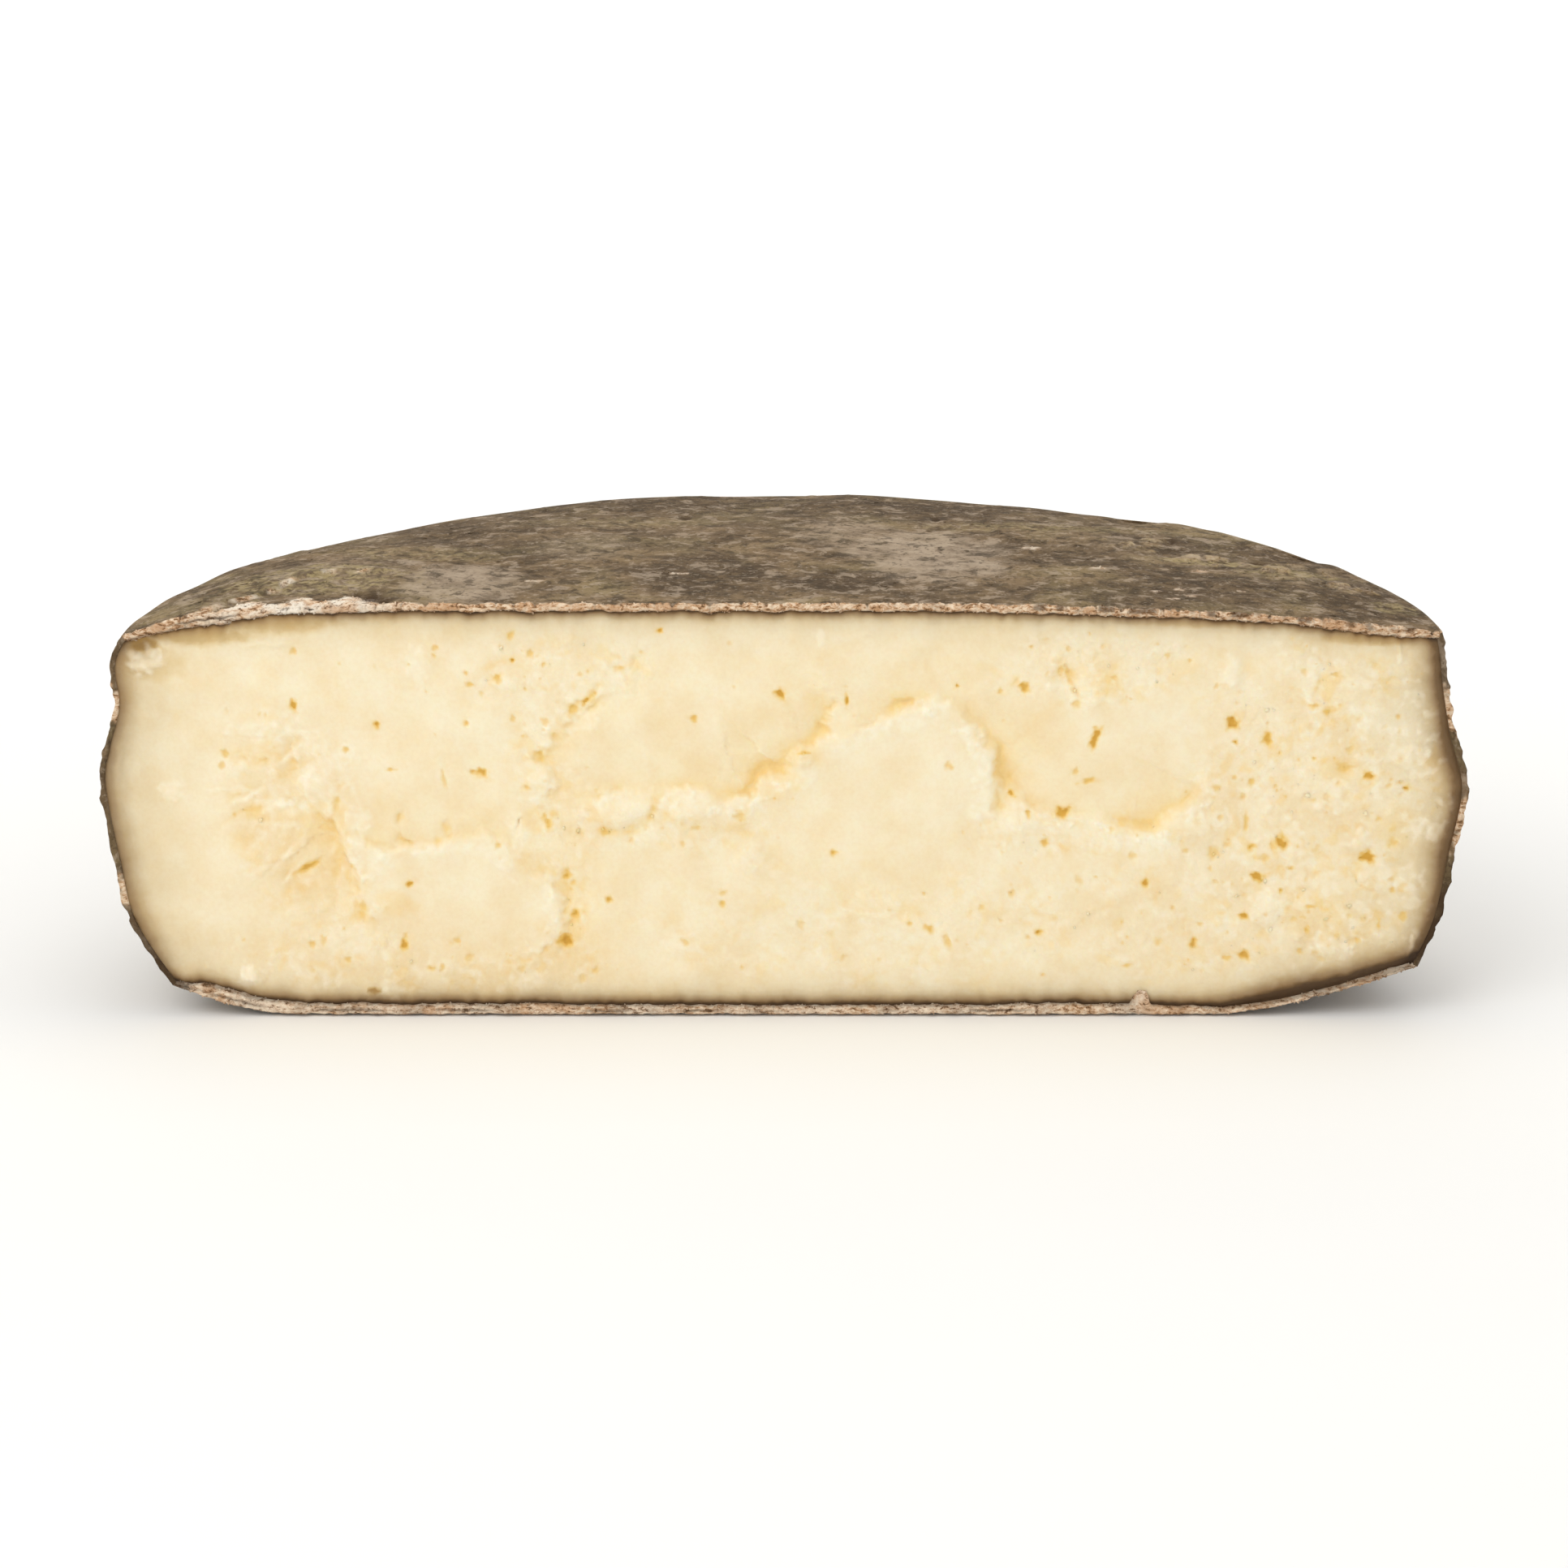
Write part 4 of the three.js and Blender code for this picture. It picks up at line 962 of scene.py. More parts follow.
def times(tree, a, b):
    """The product of two values, held between 0 and 1."""
    kind = {"operation": "MULTIPLY", "use_clamp": True}
    return add_node(tree, "ShaderNodeMath", kind, {0: a, 1: b}).outputs[0]


def mixed(tree, factor, a, b, blend="MIX"):
    """Colour b over colour a, by this factor."""
    settings = {"data_type": "RGBA", "blend_type": blend}
    sockets = {"Factor_Float": factor, "A_Color": a, "B_Color": b}
    return add_node(tree, "ShaderNodeMix", settings, sockets).outputs[2]


def attribute(tree, name):
    """One of the piece's own marks."""
    return add_node(tree, "ShaderNodeAttribute", {"attribute_name": name}).outputs["Fac"]


def bumped(tree, height, distance, strength=1.0, normal=None):
    """Fine relief in the shading, this many metres high, over the relief before it."""
    sockets = {"Height": height, "Distance": distance, "Strength": strength}
    if normal is not None:
        sockets["Normal"] = normal
    return add_node(tree, "ShaderNodeBump", None, sockets).outputs["Normal"]


def colour_property(name, description, hex_colour):
    """A colour of the settings, given as sRGB hex."""
    return bpy.props.FloatVectorProperty(
        name=name, description=description, subtype="COLOR", size=4, min=0, max=1, default=linear(hex_colour)
    )


class PasteSettings(bpy.types.PropertyGroup):
    # Colour of the painted shade in hollows, cracks and at the feet of steps, and of the paste's golden
    # patches
    painted_shade_and_golden_colour: colour_property("Recess", "Tint of the paste inside hollows and cracks", "#FFE592")
    # Also the colour of the painted highlight on raised places and flake edges
    crumb: colour_property("Crumb", "Freshly torn, crumbly paste", "#FDF5E0")
    eye: colour_property("Eye", "Waxy wall of the small holes", "#EFC864")
    glow: bpy.props.FloatProperty(
        name="Glow", description="How far light travels in the paste", default=0.0014, min=0, unit="LENGTH"
    )
    triangles: bpy.props.IntProperty(
        name="Triangles", description="Faces kept on the paste's torn surface", default=190000, min=20000
    )
    loose_crumbs: bpy.props.FloatProperty(
        name="Loose Crumbs", description="Crumbs for each square metre of crumbly paste",
        default=160000, min=0
    )
    crumb_size: bpy.props.FloatProperty(
        name="Crumb Size", description="Radius of the largest loose crumb",
        default=0.0006, min=0, unit="LENGTH"
    )


class RindSettings(bpy.types.PropertyGroup):
    felt: colour_property("Felt", "Grey-brown mould that covers the rind", "#826C50")
    bloom: colour_property("Bloom", "Pale young mould", "#B4A18A")
    dark: colour_property("Dark", "Old, damp mould", "#4A3B2A")
    ochre: colour_property("Ochre", "Dry yellowish mould", "#9C8A62")
    broken: colour_property("Broken Crust", "Broken edge of the crust", "#C3966C")
    pale_broken: colour_property("Pale Crust", "Dry, pale crumb of the broken crust", "#ECD5B8")
    grains: bpy.props.FloatProperty(
        name="Grains", description="Loose grains for each square metre of broken crust",
        default=1500000, min=0
    )
    flakes: bpy.props.FloatProperty(
        name="Flakes", description="Mould flakes for each square metre of the rind", default=26000, min=0
    )


class StudioSettings(bpy.types.PropertyGroup):
    distance: bpy.props.FloatProperty(
        name="Distance", description="From the camera to the plane of the cut", default=0.8, unit="LENGTH"
    )
    height: bpy.props.FloatProperty(
        name="Height", description="Camera above the base", default=0.2804, unit="LENGTH"
    )
    pitch: bpy.props.FloatProperty(
        name="Pitch", description="How far the camera looks down",
        default=math.radians(15.82), subtype="ANGLE"
    )
    lens: bpy.props.FloatProperty(name="Lens", description="Focal length in mm", default=86.74)
    floor: colour_property("Floor", "Plain pale floor", "#F6F5F2")
    key: bpy.props.FloatProperty(name="Key", description="Power of the large soft light", default=4.0, min=0)
    fill: bpy.props.FloatProperty(name="Fill", description="Light from all round", default=0.82, min=0)


def paste_material():
    """Firm, pressed cow's milk paste: fine-grained, slightly waxy and see-through at its edges, so light
    spreads in it. Its hollows and cracks are given a painted golden shade so that they do not go grey, and
    its raised crumbs a painted highlight."""
    settings = bpy.context.scene.cheese_paste
    material, tree = new_material("Firm cow's milk paste")
    place = add_node(tree, "ShaderNodeTexCoord").outputs["Object"]
    ramp = add_node(tree, "ShaderNodeValToRGB", None, {"Fac": attribute(tree, "ripeness")})
    stops = ramp.color_ramp.elements
    for number, (position, colour) in enumerate(RIPENESS_COLOURS):
        stop = stops[0] if number == 0 else stops[-1] if position == 1 else stops.new(position)
        stop.color = linear(colour)
    curd = noise_at(tree, place, CURD, 4, 0.55)
    grain = noise_at(tree, place, PASTE_GRAIN, 3, 0.6)
    colour = ramp.outputs["Color"]
    colour = mixed(tree, ranged(tree, curd, 0.3, 0.75, 0, 0.35), colour, linear(CURD_TINT), "MULTIPLY")
    tone = times(tree, attribute(tree, "tone"), 0.24)
    colour = mixed(tree, tone, colour, linear(TONE_TINT), "MULTIPLY")
    # Painted golden shade in hollows, cracks and at the feet of steps, together with the golden patches
    hollow = times(tree, attribute(tree, "hollow"), 0.6)
    colour = mixed(tree, hollow, colour, tuple(settings.painted_shade_and_golden_colour), "MULTIPLY")
    # Whitish crumb, with the painted highlight on raised places and flake edges
    colour = mixed(tree, times(tree, attribute(tree, "crumb"), 0.8), colour, tuple(settings.crumb))
    eye = attribute(tree, "eye")
    colour = mixed(tree, eye, colour, tuple(settings.eye))
    colour = mixed(tree, ranged(tree, eye, 0.72, 1, 0, 0.6), colour, linear(DEEP_EYE))
    speckle = ranged(tree, grain, 0.35, 0.7, 0, 0.1)
    colour = mixed(tree, speckle, colour, linear(SPECKLE_TINT), "MULTIPLY")
    rough = ranged(tree, attribute(tree, "rough"), 0, 1, 0.15, 0.65)
    relief = bumped(tree, noise_at(tree, place, PITTING, 3, 0.6), 0.00028, rough)
    relief = bumped(tree, grain, 0.00018, rough, relief)
    shader = add_node(tree, "ShaderNodeBsdfPrincipled", {"subsurface_method": "RANDOM_WALK"}, {
        "Base Color": colour,
        "Roughness": 0.62,
        "Specular IOR Level": 0.28,
        "IOR": 1.45,
        "Subsurface Weight": 0.4,
        "Subsurface Radius": (1.0, 0.72, 0.38),
        "Subsurface Scale": settings.glow,
        "Normal": relief,
    })
    add_node(tree, "ShaderNodeOutputMaterial", None, {"Surface": shader.outputs["BSDF"]})
    return material


def rind_material():
    """Dry crust under a felt of grey-brown mould: dull, mottled in cloudy patches, with a paler bloom, dark
    pits and a pinkish tan, grainy edge where the crust was broken."""
    settings = bpy.context.scene.cheese_rind
    material, tree = new_material("Mould-ripened dry crust")
    place = add_node(tree, "ShaderNodeTexCoord").outputs["Object"]
    cloud = noise_at(tree, place, CLOUD, 3, 0.5, 0.5)
    mottle = noise_at(tree, place, MOTTLE, 4, 0.6, 0.5)
    fibre = noise_at(tree, place, FIBRE, 3, 0.6, 0.2)
    fleck = noise_at(tree, place, FLECK, 4, 0.65, 0.3)
    streak = noise_at(tree, place, STREAK, 4, 0.65, 0.4)
    colour = mixed(tree, ranged(tree, mottle, 0.3, 0.62, 0.25, 1), tuple(settings.dark), tuple(settings.felt))
    colour = mixed(tree, ranged(tree, cloud, 0.48, 0.68, 0, 0.45), colour, tuple(settings.ochre))
    colour = mixed(tree, ranged(tree, cloud, 0.48, 0.32, 0, 0.4), colour, tuple(settings.dark))
    bloom = times(tree, attribute(tree, "bloom"), ranged(tree, mottle, 0.3, 0.62, 0.35, 1))
    colour = mixed(tree, times(tree, bloom, 0.8), colour, tuple(settings.bloom))
    dark = times(tree, attribute(tree, "dark"), ranged(tree, fleck, 0.35, 0.62, 0.25, 0.9))
    colour = mixed(tree, dark, colour, tuple(settings.dark))
    ochre = times(tree, attribute(tree, "ochre"), ranged(tree, fleck, 0.38, 0.6))
    colour = mixed(tree, ochre, colour, tuple(settings.ochre))
    colour = mixed(tree, ranged(tree, streak, 0.54, 0.63, 0, 0.5), colour, tuple(settings.bloom))
    colour = mixed(tree, ranged(tree, streak, 0.46, 0.39, 0, 0.65), colour, linear(DARK_STREAK))
    colour = mixed(tree, ranged(tree, fibre, 0.55, 0.7, 0, 0.45), colour, tuple(settings.bloom))
    colour = mixed(tree, ranged(tree, fibre, 0.45, 0.32, 0, 0.55), colour, linear(DARK_FIBRE))
    sockets = {0: place, 1: (1.0, 1.0, 2.2)}
    layered = add_node(tree, "ShaderNodeVectorMath", {"operation": "MULTIPLY"}, sockets)
    broken_grain = noise_at(tree, layered.outputs[0], CRUST_GRAIN, 4, 0.7, 0.5)
    block = noise_at(tree, place, CRUST_BLOCK, 3, 0.6)
    light = ranged(tree, broken_grain, 0.4, 0.6)
    crust = mixed(tree, light, tuple(settings.broken), tuple(settings.pale_broken))
    crust = mixed(tree, ranged(tree, block, 0.46, 0.36, 0, 0.6), crust, tuple(settings.broken))
    chalky = times(tree, attribute(tree, "pale"), ranged(tree, block, 0.36, 0.5, 0.3, 1))
    crust = mixed(tree, chalky, crust, linear(CHALKY_CRUST))
    crust = mixed(tree, ranged(tree, broken_grain, 0.45, 0.36, 0, 0.9), crust, linear(CRUST_CRACK))
    colour = mixed(tree, attribute(tree, "broken"), colour, crust)
    # Dark stains, and painted shade in the notches, the split and the gap of the base's layers and along the
    # top crust's lower edge
    colour = mixed(tree, attribute(tree, "stain"), colour, linear(STAIN_AND_PAINTED_SHADE))
    relief = bumped(tree, mottle, 0.0008, 0.7)
    relief = bumped(tree, fleck, 0.0005, 0.7, relief)
    relief = bumped(tree, fibre, 0.0005, 0.8, relief)
    shader = add_node(tree, "ShaderNodeBsdfPrincipled", None, {
        "Base Color": colour,
        "Roughness": 0.92,
        "Specular IOR Level": 0.15,
        "Normal": relief,
    })
    add_node(tree, "ShaderNodeOutputMaterial", None, {"Surface": shader.outputs["BSDF"]})
    return material


def dress(made, material, replaces=True):
    """Gives a piece its material and its body, and hides the CAD solid when the piece stands in for it."""
    made.data.materials.clear()
    made.data.materials.append(material)
    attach(made, "root")
    if replaces:
        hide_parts("cheese")


class CHEESE_OT_paste(bpy.types.Operator):
    """Builds the paste: the torn cut face, closed behind by the body of the cheese"""

    bl_idname = "cheese.paste"
    bl_label = "Build Paste"

    COLUMNS = 840
    ROWS = 270
    RINGS = 40
    RING_RUNS = (9, 12, 3, 5)
    FOOT_SHARE = 0.29  # share of half the columns that lie on the curve under each end
    CRUMBS_BEFORE = (8, 9)  # mm from the cut within which loose crumbs may lie

    def execute(self, context):
        relief = PasteMap()
        skin = Skin()
        half = self.COLUMNS // 2
        foot_columns = int(half * self.FOOT_SHARE)
        steps = (half, self.ROWS, foot_columns, half - foot_columns)
        cut_runs = self.runs(steps)
        right = self.line(skin, 0.0, cut_runs)
        left = self.line(skin, math.pi, cut_runs)
        left[0], left[-1] = right[0], right[-1]
        ring_runs = self.runs(self.RING_RUNS)
        angles = [math.pi * (k + 1) / (self.RINGS + 1) for k in range(self.RINGS)]
        rings = [self.line(skin, angle, ring_runs) for angle in angles]
        for ring in rings:
            ring[0], ring[-1] = right[0], right[-1]
        skin.add_zip(right, cut_runs, rings[0], ring_runs)
        for ring, following in zip(rings, rings[1:]):
            skin.add_grid(np.stack([ring, following]))
        skin.add_zip(rings[-1], ring_runs, left, cut_runs)
        self.add_face(skin, relief, right, left, half)
        paste = skin.to_object("paste", context.scene.cheese_paste.triangles)
        points = in_wheel(paste.data)
        for name in ("ripeness", "hollow", "eye", "crumb", "tone", "rough", "bed"):
            front = 1 - smooth(points[:, 1], *self.CRUMBS_BEFORE)
            values = relief.read(getattr(relief, name), points[:, 0], points[:, 2])
            mark(paste, name, values * front if name == "bed" else values)
        dress(paste, paste_material())
        return {"FINISHED"}

    @staticmethod
    def runs(steps):
        """Places along the profile, with this many even steps on each of its stretches."""
        return np.concatenate([s + np.arange(n) / n for s, n in enumerate(steps)] + [[len(steps)]])

    @staticmethod
    def line(skin, theta, runs):
        """A line from crown to base at this angle, a little inside the rind."""
        r, z = rind_surface(np.full(len(runs), theta), runs)
        r = r * (1 - PASTE_INSET / RIGHT["knots"][0][0])
        z = MIDDLE_HEIGHT + (z - MIDDLE_HEIGHT) * (1 - PASTE_INSET / MIDDLE_HEIGHT)
        return skin.add_points(in_space(theta, r, z))

    def add_face(self, skin, relief, right, left, half):
        """A grid stretched between the outline's four sides, then pushed in by the relief."""
        points = np.concatenate(skin.points)
        rows, columns = self.ROWS, self.COLUMNS
        top = np.concatenate([left[: half + 1][::-1], right[1 : half + 1]])
        base = np.concatenate([left[half + rows :], right[half + rows : -1][::-1]])
        left_side, right_side = left[half : half + rows + 1], right[half : half + rows + 1]
        u = np.linspace(0, 1, columns + 1)[None, :, None]
        v = np.linspace(0, 1, rows + 1)[:, None, None]
        grid = points[top][None] * (1 - v) + points[base][None] * v
        grid = grid + points[left_side][:, None] * (1 - u) + points[right_side][:, None] * u
        corners = ((top[0], 1 - u, 1 - v), (top[-1], u, 1 - v), (base[0], 1 - u, v), (base[-1], u, v))
        for corner, across, down in corners:
            grid = grid - points[corner] * (across * down)
        grid[..., 1] = relief.read(relief.depth, grid[..., 0], grid[..., 2])
        inner = skin.add_points(grid[1:-1, 1:-1])
        index = np.empty((rows + 1, columns + 1), int)
        index[0], index[-1], index[:, 0], index[:, -1] = top, base, left_side, right_side
        index[1:-1, 1:-1] = inner
        skin.add_grid(index)


def notches(x, spacing, width, seed):
    """Narrow notches along a line, from 0 to 1, one for each stretch of this spacing."""
    cell = np.floor(x / spacing)
    depth = np.zeros(np.shape(x))
    for shift in (-1, 0, 1):
        here = cell + shift
        place = (here + hashed(here, 0 * here, seed)) * spacing
        tall = hashed(here, 0 * here, seed + 1)
        wide = width * (0.5 + hashed(here, 0 * here, seed + 2))
        depth = np.maximum(depth, tall * np.exp(-(((x - place) / wide) ** 2)))
    return depth


def broken_relief(along, across, seed):
    """How far the broken crust stands out, in mm: packed grains of two sizes on broad steps."""
    coarse, coarse_mark = crumbs_of(along, across, 1.5, seed)
    fine, fine_mark = crumbs_of(along, across, 0.7, seed + 5)
    steps = 0.3 * ripple(along, across, 4.5, seed + 8) + 0.15 * ripple(along, across, 1.8, seed + 9)
    return 0.42 * coarse * (0.3 + 0.7 * coarse_mark) + 0.2 * fine * fine_mark + steps


def knobs(x, y):
    """The dry knobs along the ridge of the top rind: how far they reach there, and their domes from
    0 to 1."""
    here = np.exp(-((near_path(LUMPY_RIDGE, x, y)[0] / 9) ** 2))
    dome, dome_mark = crumbs_of(x + 2.5 * ripple(x, y, 6, 84), y + 2.5 * ripple(x, y, 6, 85), 6.5, 86)
    return here, dome * dome_mark**1.5 + 0.25 * ripple(x, y, 3, 87)


def felt_relief(x, y):
    """Fine unevenness of the rind's felt, in mm."""
    lumps, lump_mark = crumbs_of(x, y, 4.2, 71)
    return (
        0.22 * ripple(x, y, 7, 72)
        + 0.12 * ripple(x, y, 2.6, 73)
        + 0.07 * ripple(x, y, 1.2, 74)
        + 0.18 * lumps * lump_mark**3
    )


class CHEESE_OT_rind(bpy.types.Operator):
    """Builds the crust in three pieces: the top, the side and the base, each with its broken edge"""

    bl_idname = "cheese.rind"
    bl_label = "Build Rind"

    COLUMNS = 880
    FACE_STEPS = 9  # rows down the broken face
    RIM_ROWS = (1, 0.9985, 0.9965)  # close rows at the rim keep its shading crisp
    NEXT_ROW = 0.993
    TOP_ROWS, TOP_CROWDING = 86, 1.45  # the other rows crowd towards the cut
    BASE_ROWS, BASE_CROWDING = 40, 1.6
    INNER_ROWS = (0.012, 0.3, 0.65, 1)  # and these few lie inside, from the cut back to the rim
    INNER_SHARE = 0.985
    SIDE_COLUMNS = 380
    SIDE_ROWS = 130
    SIDE_CROWDING = 0.78  # the side's columns crowd towards its two ends
    INNER_COLUMNS = 26

    def execute(self, context):
        material = rind_material()
        for made, marks in (self.top(), self.base(), self.side()):
            for name in ("broken", "pale", "bloom", "dark", "ochre", "stain"):
                mark(made, name, np.clip(marks.get(name, np.zeros(len(made.data.vertices))), 0, 1))
            dress(made, material)
        return {"FINISHED"}

    def columns_to(self, index):
        """Even columns along the cut, with the place of the rim behind each one."""
        ends = [-float(knot(np.array(math.pi), index, 0)), float(knot(np.array(0.0), index, 0))]
        x = np.linspace(*ends, self.COLUMNS + 1)
        theta = np.linspace(0, math.pi, 4001)
        rim_x = knot(theta, index, 0) * np.cos(theta)
        angle = np.interp(-x, -rim_x, theta)
        return x, knot(angle, index, 0) * np.sin(angle)

    def lens(self, name, rows):
        """A shell over half a disc: every column is a closed loop of rows from the rim to the cut and
    back."""
        skin = Skin()
        index = skin.add_points(np.stack(rows))
        skin.add_grid(np.concatenate([index, index[:1]]))
        for loop in (index[:, 0].tolist(), index[:, -1].tolist()):
            skin.faces.extend([loop[-1], a, b] for a, b in zip(loop, loop[1:-1]))
        return skin.to_object(name)

    def outer_shares(self, rows, crowding):
        """Where the rows of the outer surface lie, from 1 at the rim to 0 at the cut."""
        return [*self.RIM_ROWS, *(self.NEXT_ROW * np.linspace(1, 0, rows) ** crowding)]

    def face_shares(self):
        """Where the rows of the broken face lie, from the outer edge, left out, to 1 at the inner one."""
        return np.linspace(0, 1, self.FACE_STEPS + 1)[1:]

    @staticmethod
    def bulge(share, x, z, seed):
        """How far the broken face stands out of the cut, this share of the way down it."""
        return 0.1 + 0.3 * math.sin(math.pi * min(1, share + 0.08)) + broken_relief(x, z, seed)

    @staticmethod
    def inside_ends(x, index):
        """0 at the two ends of the cut and 1 past the first millimetres."""
        return smooth(knot(np.where(x > 0, 0.0, math.pi), index, 0) - np.abs(x), 0, 1.5)

    def top(self):
        """The top's crust, and what its material reads of it."""
        x, back = self.columns_to(0)
        rows = [self.top_point(x, back * s) for s in self.outer_shares(self.TOP_ROWS, self.TOP_CROWDING)]
        edge = rows[-1][:, 2]
        foot = cut_top(x) - crust_top(x)
        for w in self.face_shares():
            z = edge * (1 - w) + foot * w
            rows.append(np.stack([x, -self.bulge(w, x, z, 81) * self.inside_ends(x, 0), z], -1))
        for s in self.INNER_ROWS:
            theta = np.arctan2(back * s, x)
            run = np.hypot(x, back * s) / knot(theta, 0, 0)
            height = rind_surface(theta, np.minimum(run, 1))[1] - crust_top(x)
            rows.append(np.stack([self.INNER_SHARE * x, back * s, height], -1))
        made = self.lens("rind_top", rows)
        points = in_wheel(made.data)
        px, py = points[:, 0], points[:, 1]
        warp = 0.6 * ripple(px, py, 8, 91) + 0.4 * ripple(px, py, 3, 92)
        wide = widened(px, WIDE_BREAK)
        reach = 0.2 + 0.7 * ripple(px, py, 3.5, 93) + 0.6 * ripple(px, py, 1.2, 94)
        reach = reach + wide * (6 + 3 * ripple(px, py, 6, 96))
        reach = reach + 1.6 * widened(px, RAGGED_BREAK) * ripple(px, py, 5, 96)
        lower = points[:, 2] < cut_top(px) - 0.4
        broken = np.where(lower & (py < 0.6), 1, 1 - smooth(py, reach, reach + 0.6))
        pits = self.pits(px, py)
        # A dark line at the foot of the broken face: painted shadow of the crust's lower edge
        foot = smooth(cut_top(px) - points[:, 2] - crust_top(px) + 0.45, 0, 0.5) * (py < 1)
        uneven = smooth(ripple(px, py, 5, 79) + 0.6 * ripple(px, py, 2, 80), -0.35, 0.5)
        here, dome = knobs(px, py)
        on_ridge = here * smooth(dome, 0.15, 0.5)
        # Painted shade on the slope before the ridge of knobs
        shade_before_ridge = np.exp(-((near_path(SHADE_BEFORE_RIDGE, px, py)[0] / 8) ** 2))
        flake = np.exp(-(((near_path(FLAKE_EDGE, px, py)[0] - 0.2) / 1.1) ** 2)) * uneven
        dashes = patches(PALE_DASHES, px, py, 0.6 * ripple(px, py, 1.5, 90))
        # Painted shade in the notches of the broken edge
        notch_shade = 0.8 * notches(px, *CUT_NOTCHES) + 0.7 * notches(px, *FINE_NOTCHES)
        notch_shade = notch_shade * broken * smooth(py, -0.9, 0.3) * smooth(-py, -1.8, -0.6)
        deep = (cut_top(px) - points[:, 2]) / crust_top(px) + 0.1 * ripple(px, py, 3, 99)
        dusky = 0.7 * smooth(ripple(px, points[:, 2], 3, 75) + 0.3 * smooth(px, 30, 70), 0.2, 0.7)
        dusky = dusky * smooth(px, 10, 60) * (1 - 0.8 * smooth(deep, 0.4, 0.65)) * (py < 0.6)
        dark = np.maximum.reduce([patches(DARK, px, py, warp), pits, 0.9 * shade_before_ridge, 1.2 * here])
        # Painted shade line for the gap where the crust came apart in two strips
        split = widened(px, (*SPLIT, 0.9)) * np.exp(-(((deep - 0.42) / 0.12) ** 2)) * (py < 0.5)
        return made, {
            "broken": np.maximum.reduce([broken, 0.8 * flake, 0.8 * dashes, 0.2 * on_ridge]),
            "pale": np.maximum(0.95 * wide * smooth(ripple(px, py, 4, 95), -0.7, 0.4), 0.6 * dashes),
            "bloom": np.maximum(patches(BLOOM, px, py, warp), 0.9 * here * uneven),
            "dark": dark * (1 - on_ridge),
            "ochre": np.maximum(patches(OCHRE, px, py, warp), on_ridge),
            "stain": np.maximum.reduce([notch_shade, 0.5 * foot, pits, split, dusky]),
        }

    @staticmethod
    def pits(x, y):
        """How deep each place lies in one of the top's pits, from 0 to 1."""
        return sum(np.exp(-(((x - a) / (0.6 * size)) ** 2) - ((y - b) / size) ** 2) for a, b, size in PITS)

    def top_point(self, x, y):
        """The outer surface of the top's crust, with its felt, knobs, pits, notches and broken bevel."""
        theta = np.arctan2(y, x)
        run = np.hypot(x, y) / knot(theta, 0, 0)
        _, z = rind_surface(theta, np.minimum(run, 1))
        here, dome = knobs(x, y)
        away = near_path(FLAKE_EDGE, x, y)[0]
        flake = 0.7 * smooth(away, -0.4, 0.6) * np.exp(-((np.clip(away, 0, None) / 8) ** 2))
        front = np.exp(-((y / 1.3) ** 2))
        notch = 0.65 * notches(x, *CUT_NOTCHES) + 0.3 * notches(x, *FINE_NOTCHES) + 0.2 * ripple(x, y, 4, 77)
        bevel = widened(x, WIDE_BREAK) * (1 - smooth(y, 0, 7)) * (0.45 + 0.6 * ripple(x, y, 3, 78))
        held = smooth(1 - run, 0, 0.01)
        relief = felt_relief(x, y) + 0.9 * here * dome + flake - 0.9 * self.pits(x, y)
        z = z + relief * held - front * notch * held - bevel * held
        return np.stack([x, y, z], -1)

    @staticmethod
    def slit(x, lift):
        """The gap between the two layers of the base's crust, this high above its underside: where it is set
        back a little and given painted shade.
        """
        open_here = smooth(ripple(x, 0 * x, 14, 105), -0.1, 0.4)
        return open_here * np.exp(-(((lift - 0.5 * crust_base(x)) / 0.22) ** 2))

    def base(self):
        """The base's crust, and what its material reads of it."""
        x, back = self.columns_to(-1)
        rows = [self.base_point(x, back * s) for s in self.outer_shares(self.BASE_ROWS, self.BASE_CROWDING)]
        edge = rows[-1][:, 2]
        for w in self.face_shares():
            z = edge + crust_base(x) * w
            out = self.bulge(w, x, z, 101) - 0.6 * self.slit(x, z - edge)
            rows.append(np.stack([x, -out * self.inside_ends(x, -1), z], -1))
        for s in self.INNER_ROWS:
            above = self.base_point(x, back * s)
            above[:, 2] += crust_base(x) if s == self.INNER_ROWS[0] else np.interp(x, *zip(*CRUST_BASE))
            above[:, 0] *= self.INNER_SHARE
            rows.append(above)
        made = self.lens("rind_base", rows)
        points = in_wheel(made.data)
        px, py, lift = points[:, 0], points[:, 1], points[:, 2] - cut_base(points[:, 0])
        broken = 1 - smooth(py, 0.3, 0.9)
        plug = widened(px, (*PLUG[:2], 1))
        # Painted shade in the gap between the two layers
        layer = 0.8 * self.slit(px, lift)
        seam = 0.55 * smooth(lift - crust_base(px) + 0.5, 0, 0.7) * (1 - plug)
        under = (1 - smooth(lift, 0, 0.25)) * 0.35 * smooth(ripple(px, 0 * px, 18, 106), -0.1, 0.5)
        cloudy = 0.04 + 0.35 * ripple(px, py, 5, 104)
        corner = 0.8 * smooth(-px, *BROKEN_END)
        return made, {
            "broken": broken,
            "pale": 0.25 + 0.35 * ripple(px, py, 12, 110) + 0.3 * plug,
            "dark": 0.5 * smooth(ripple(px, py, 20, 107), -0.3, 0.6),
            "stain": broken * np.maximum.reduce([layer, seam, under, cloudy, corner]),
        }

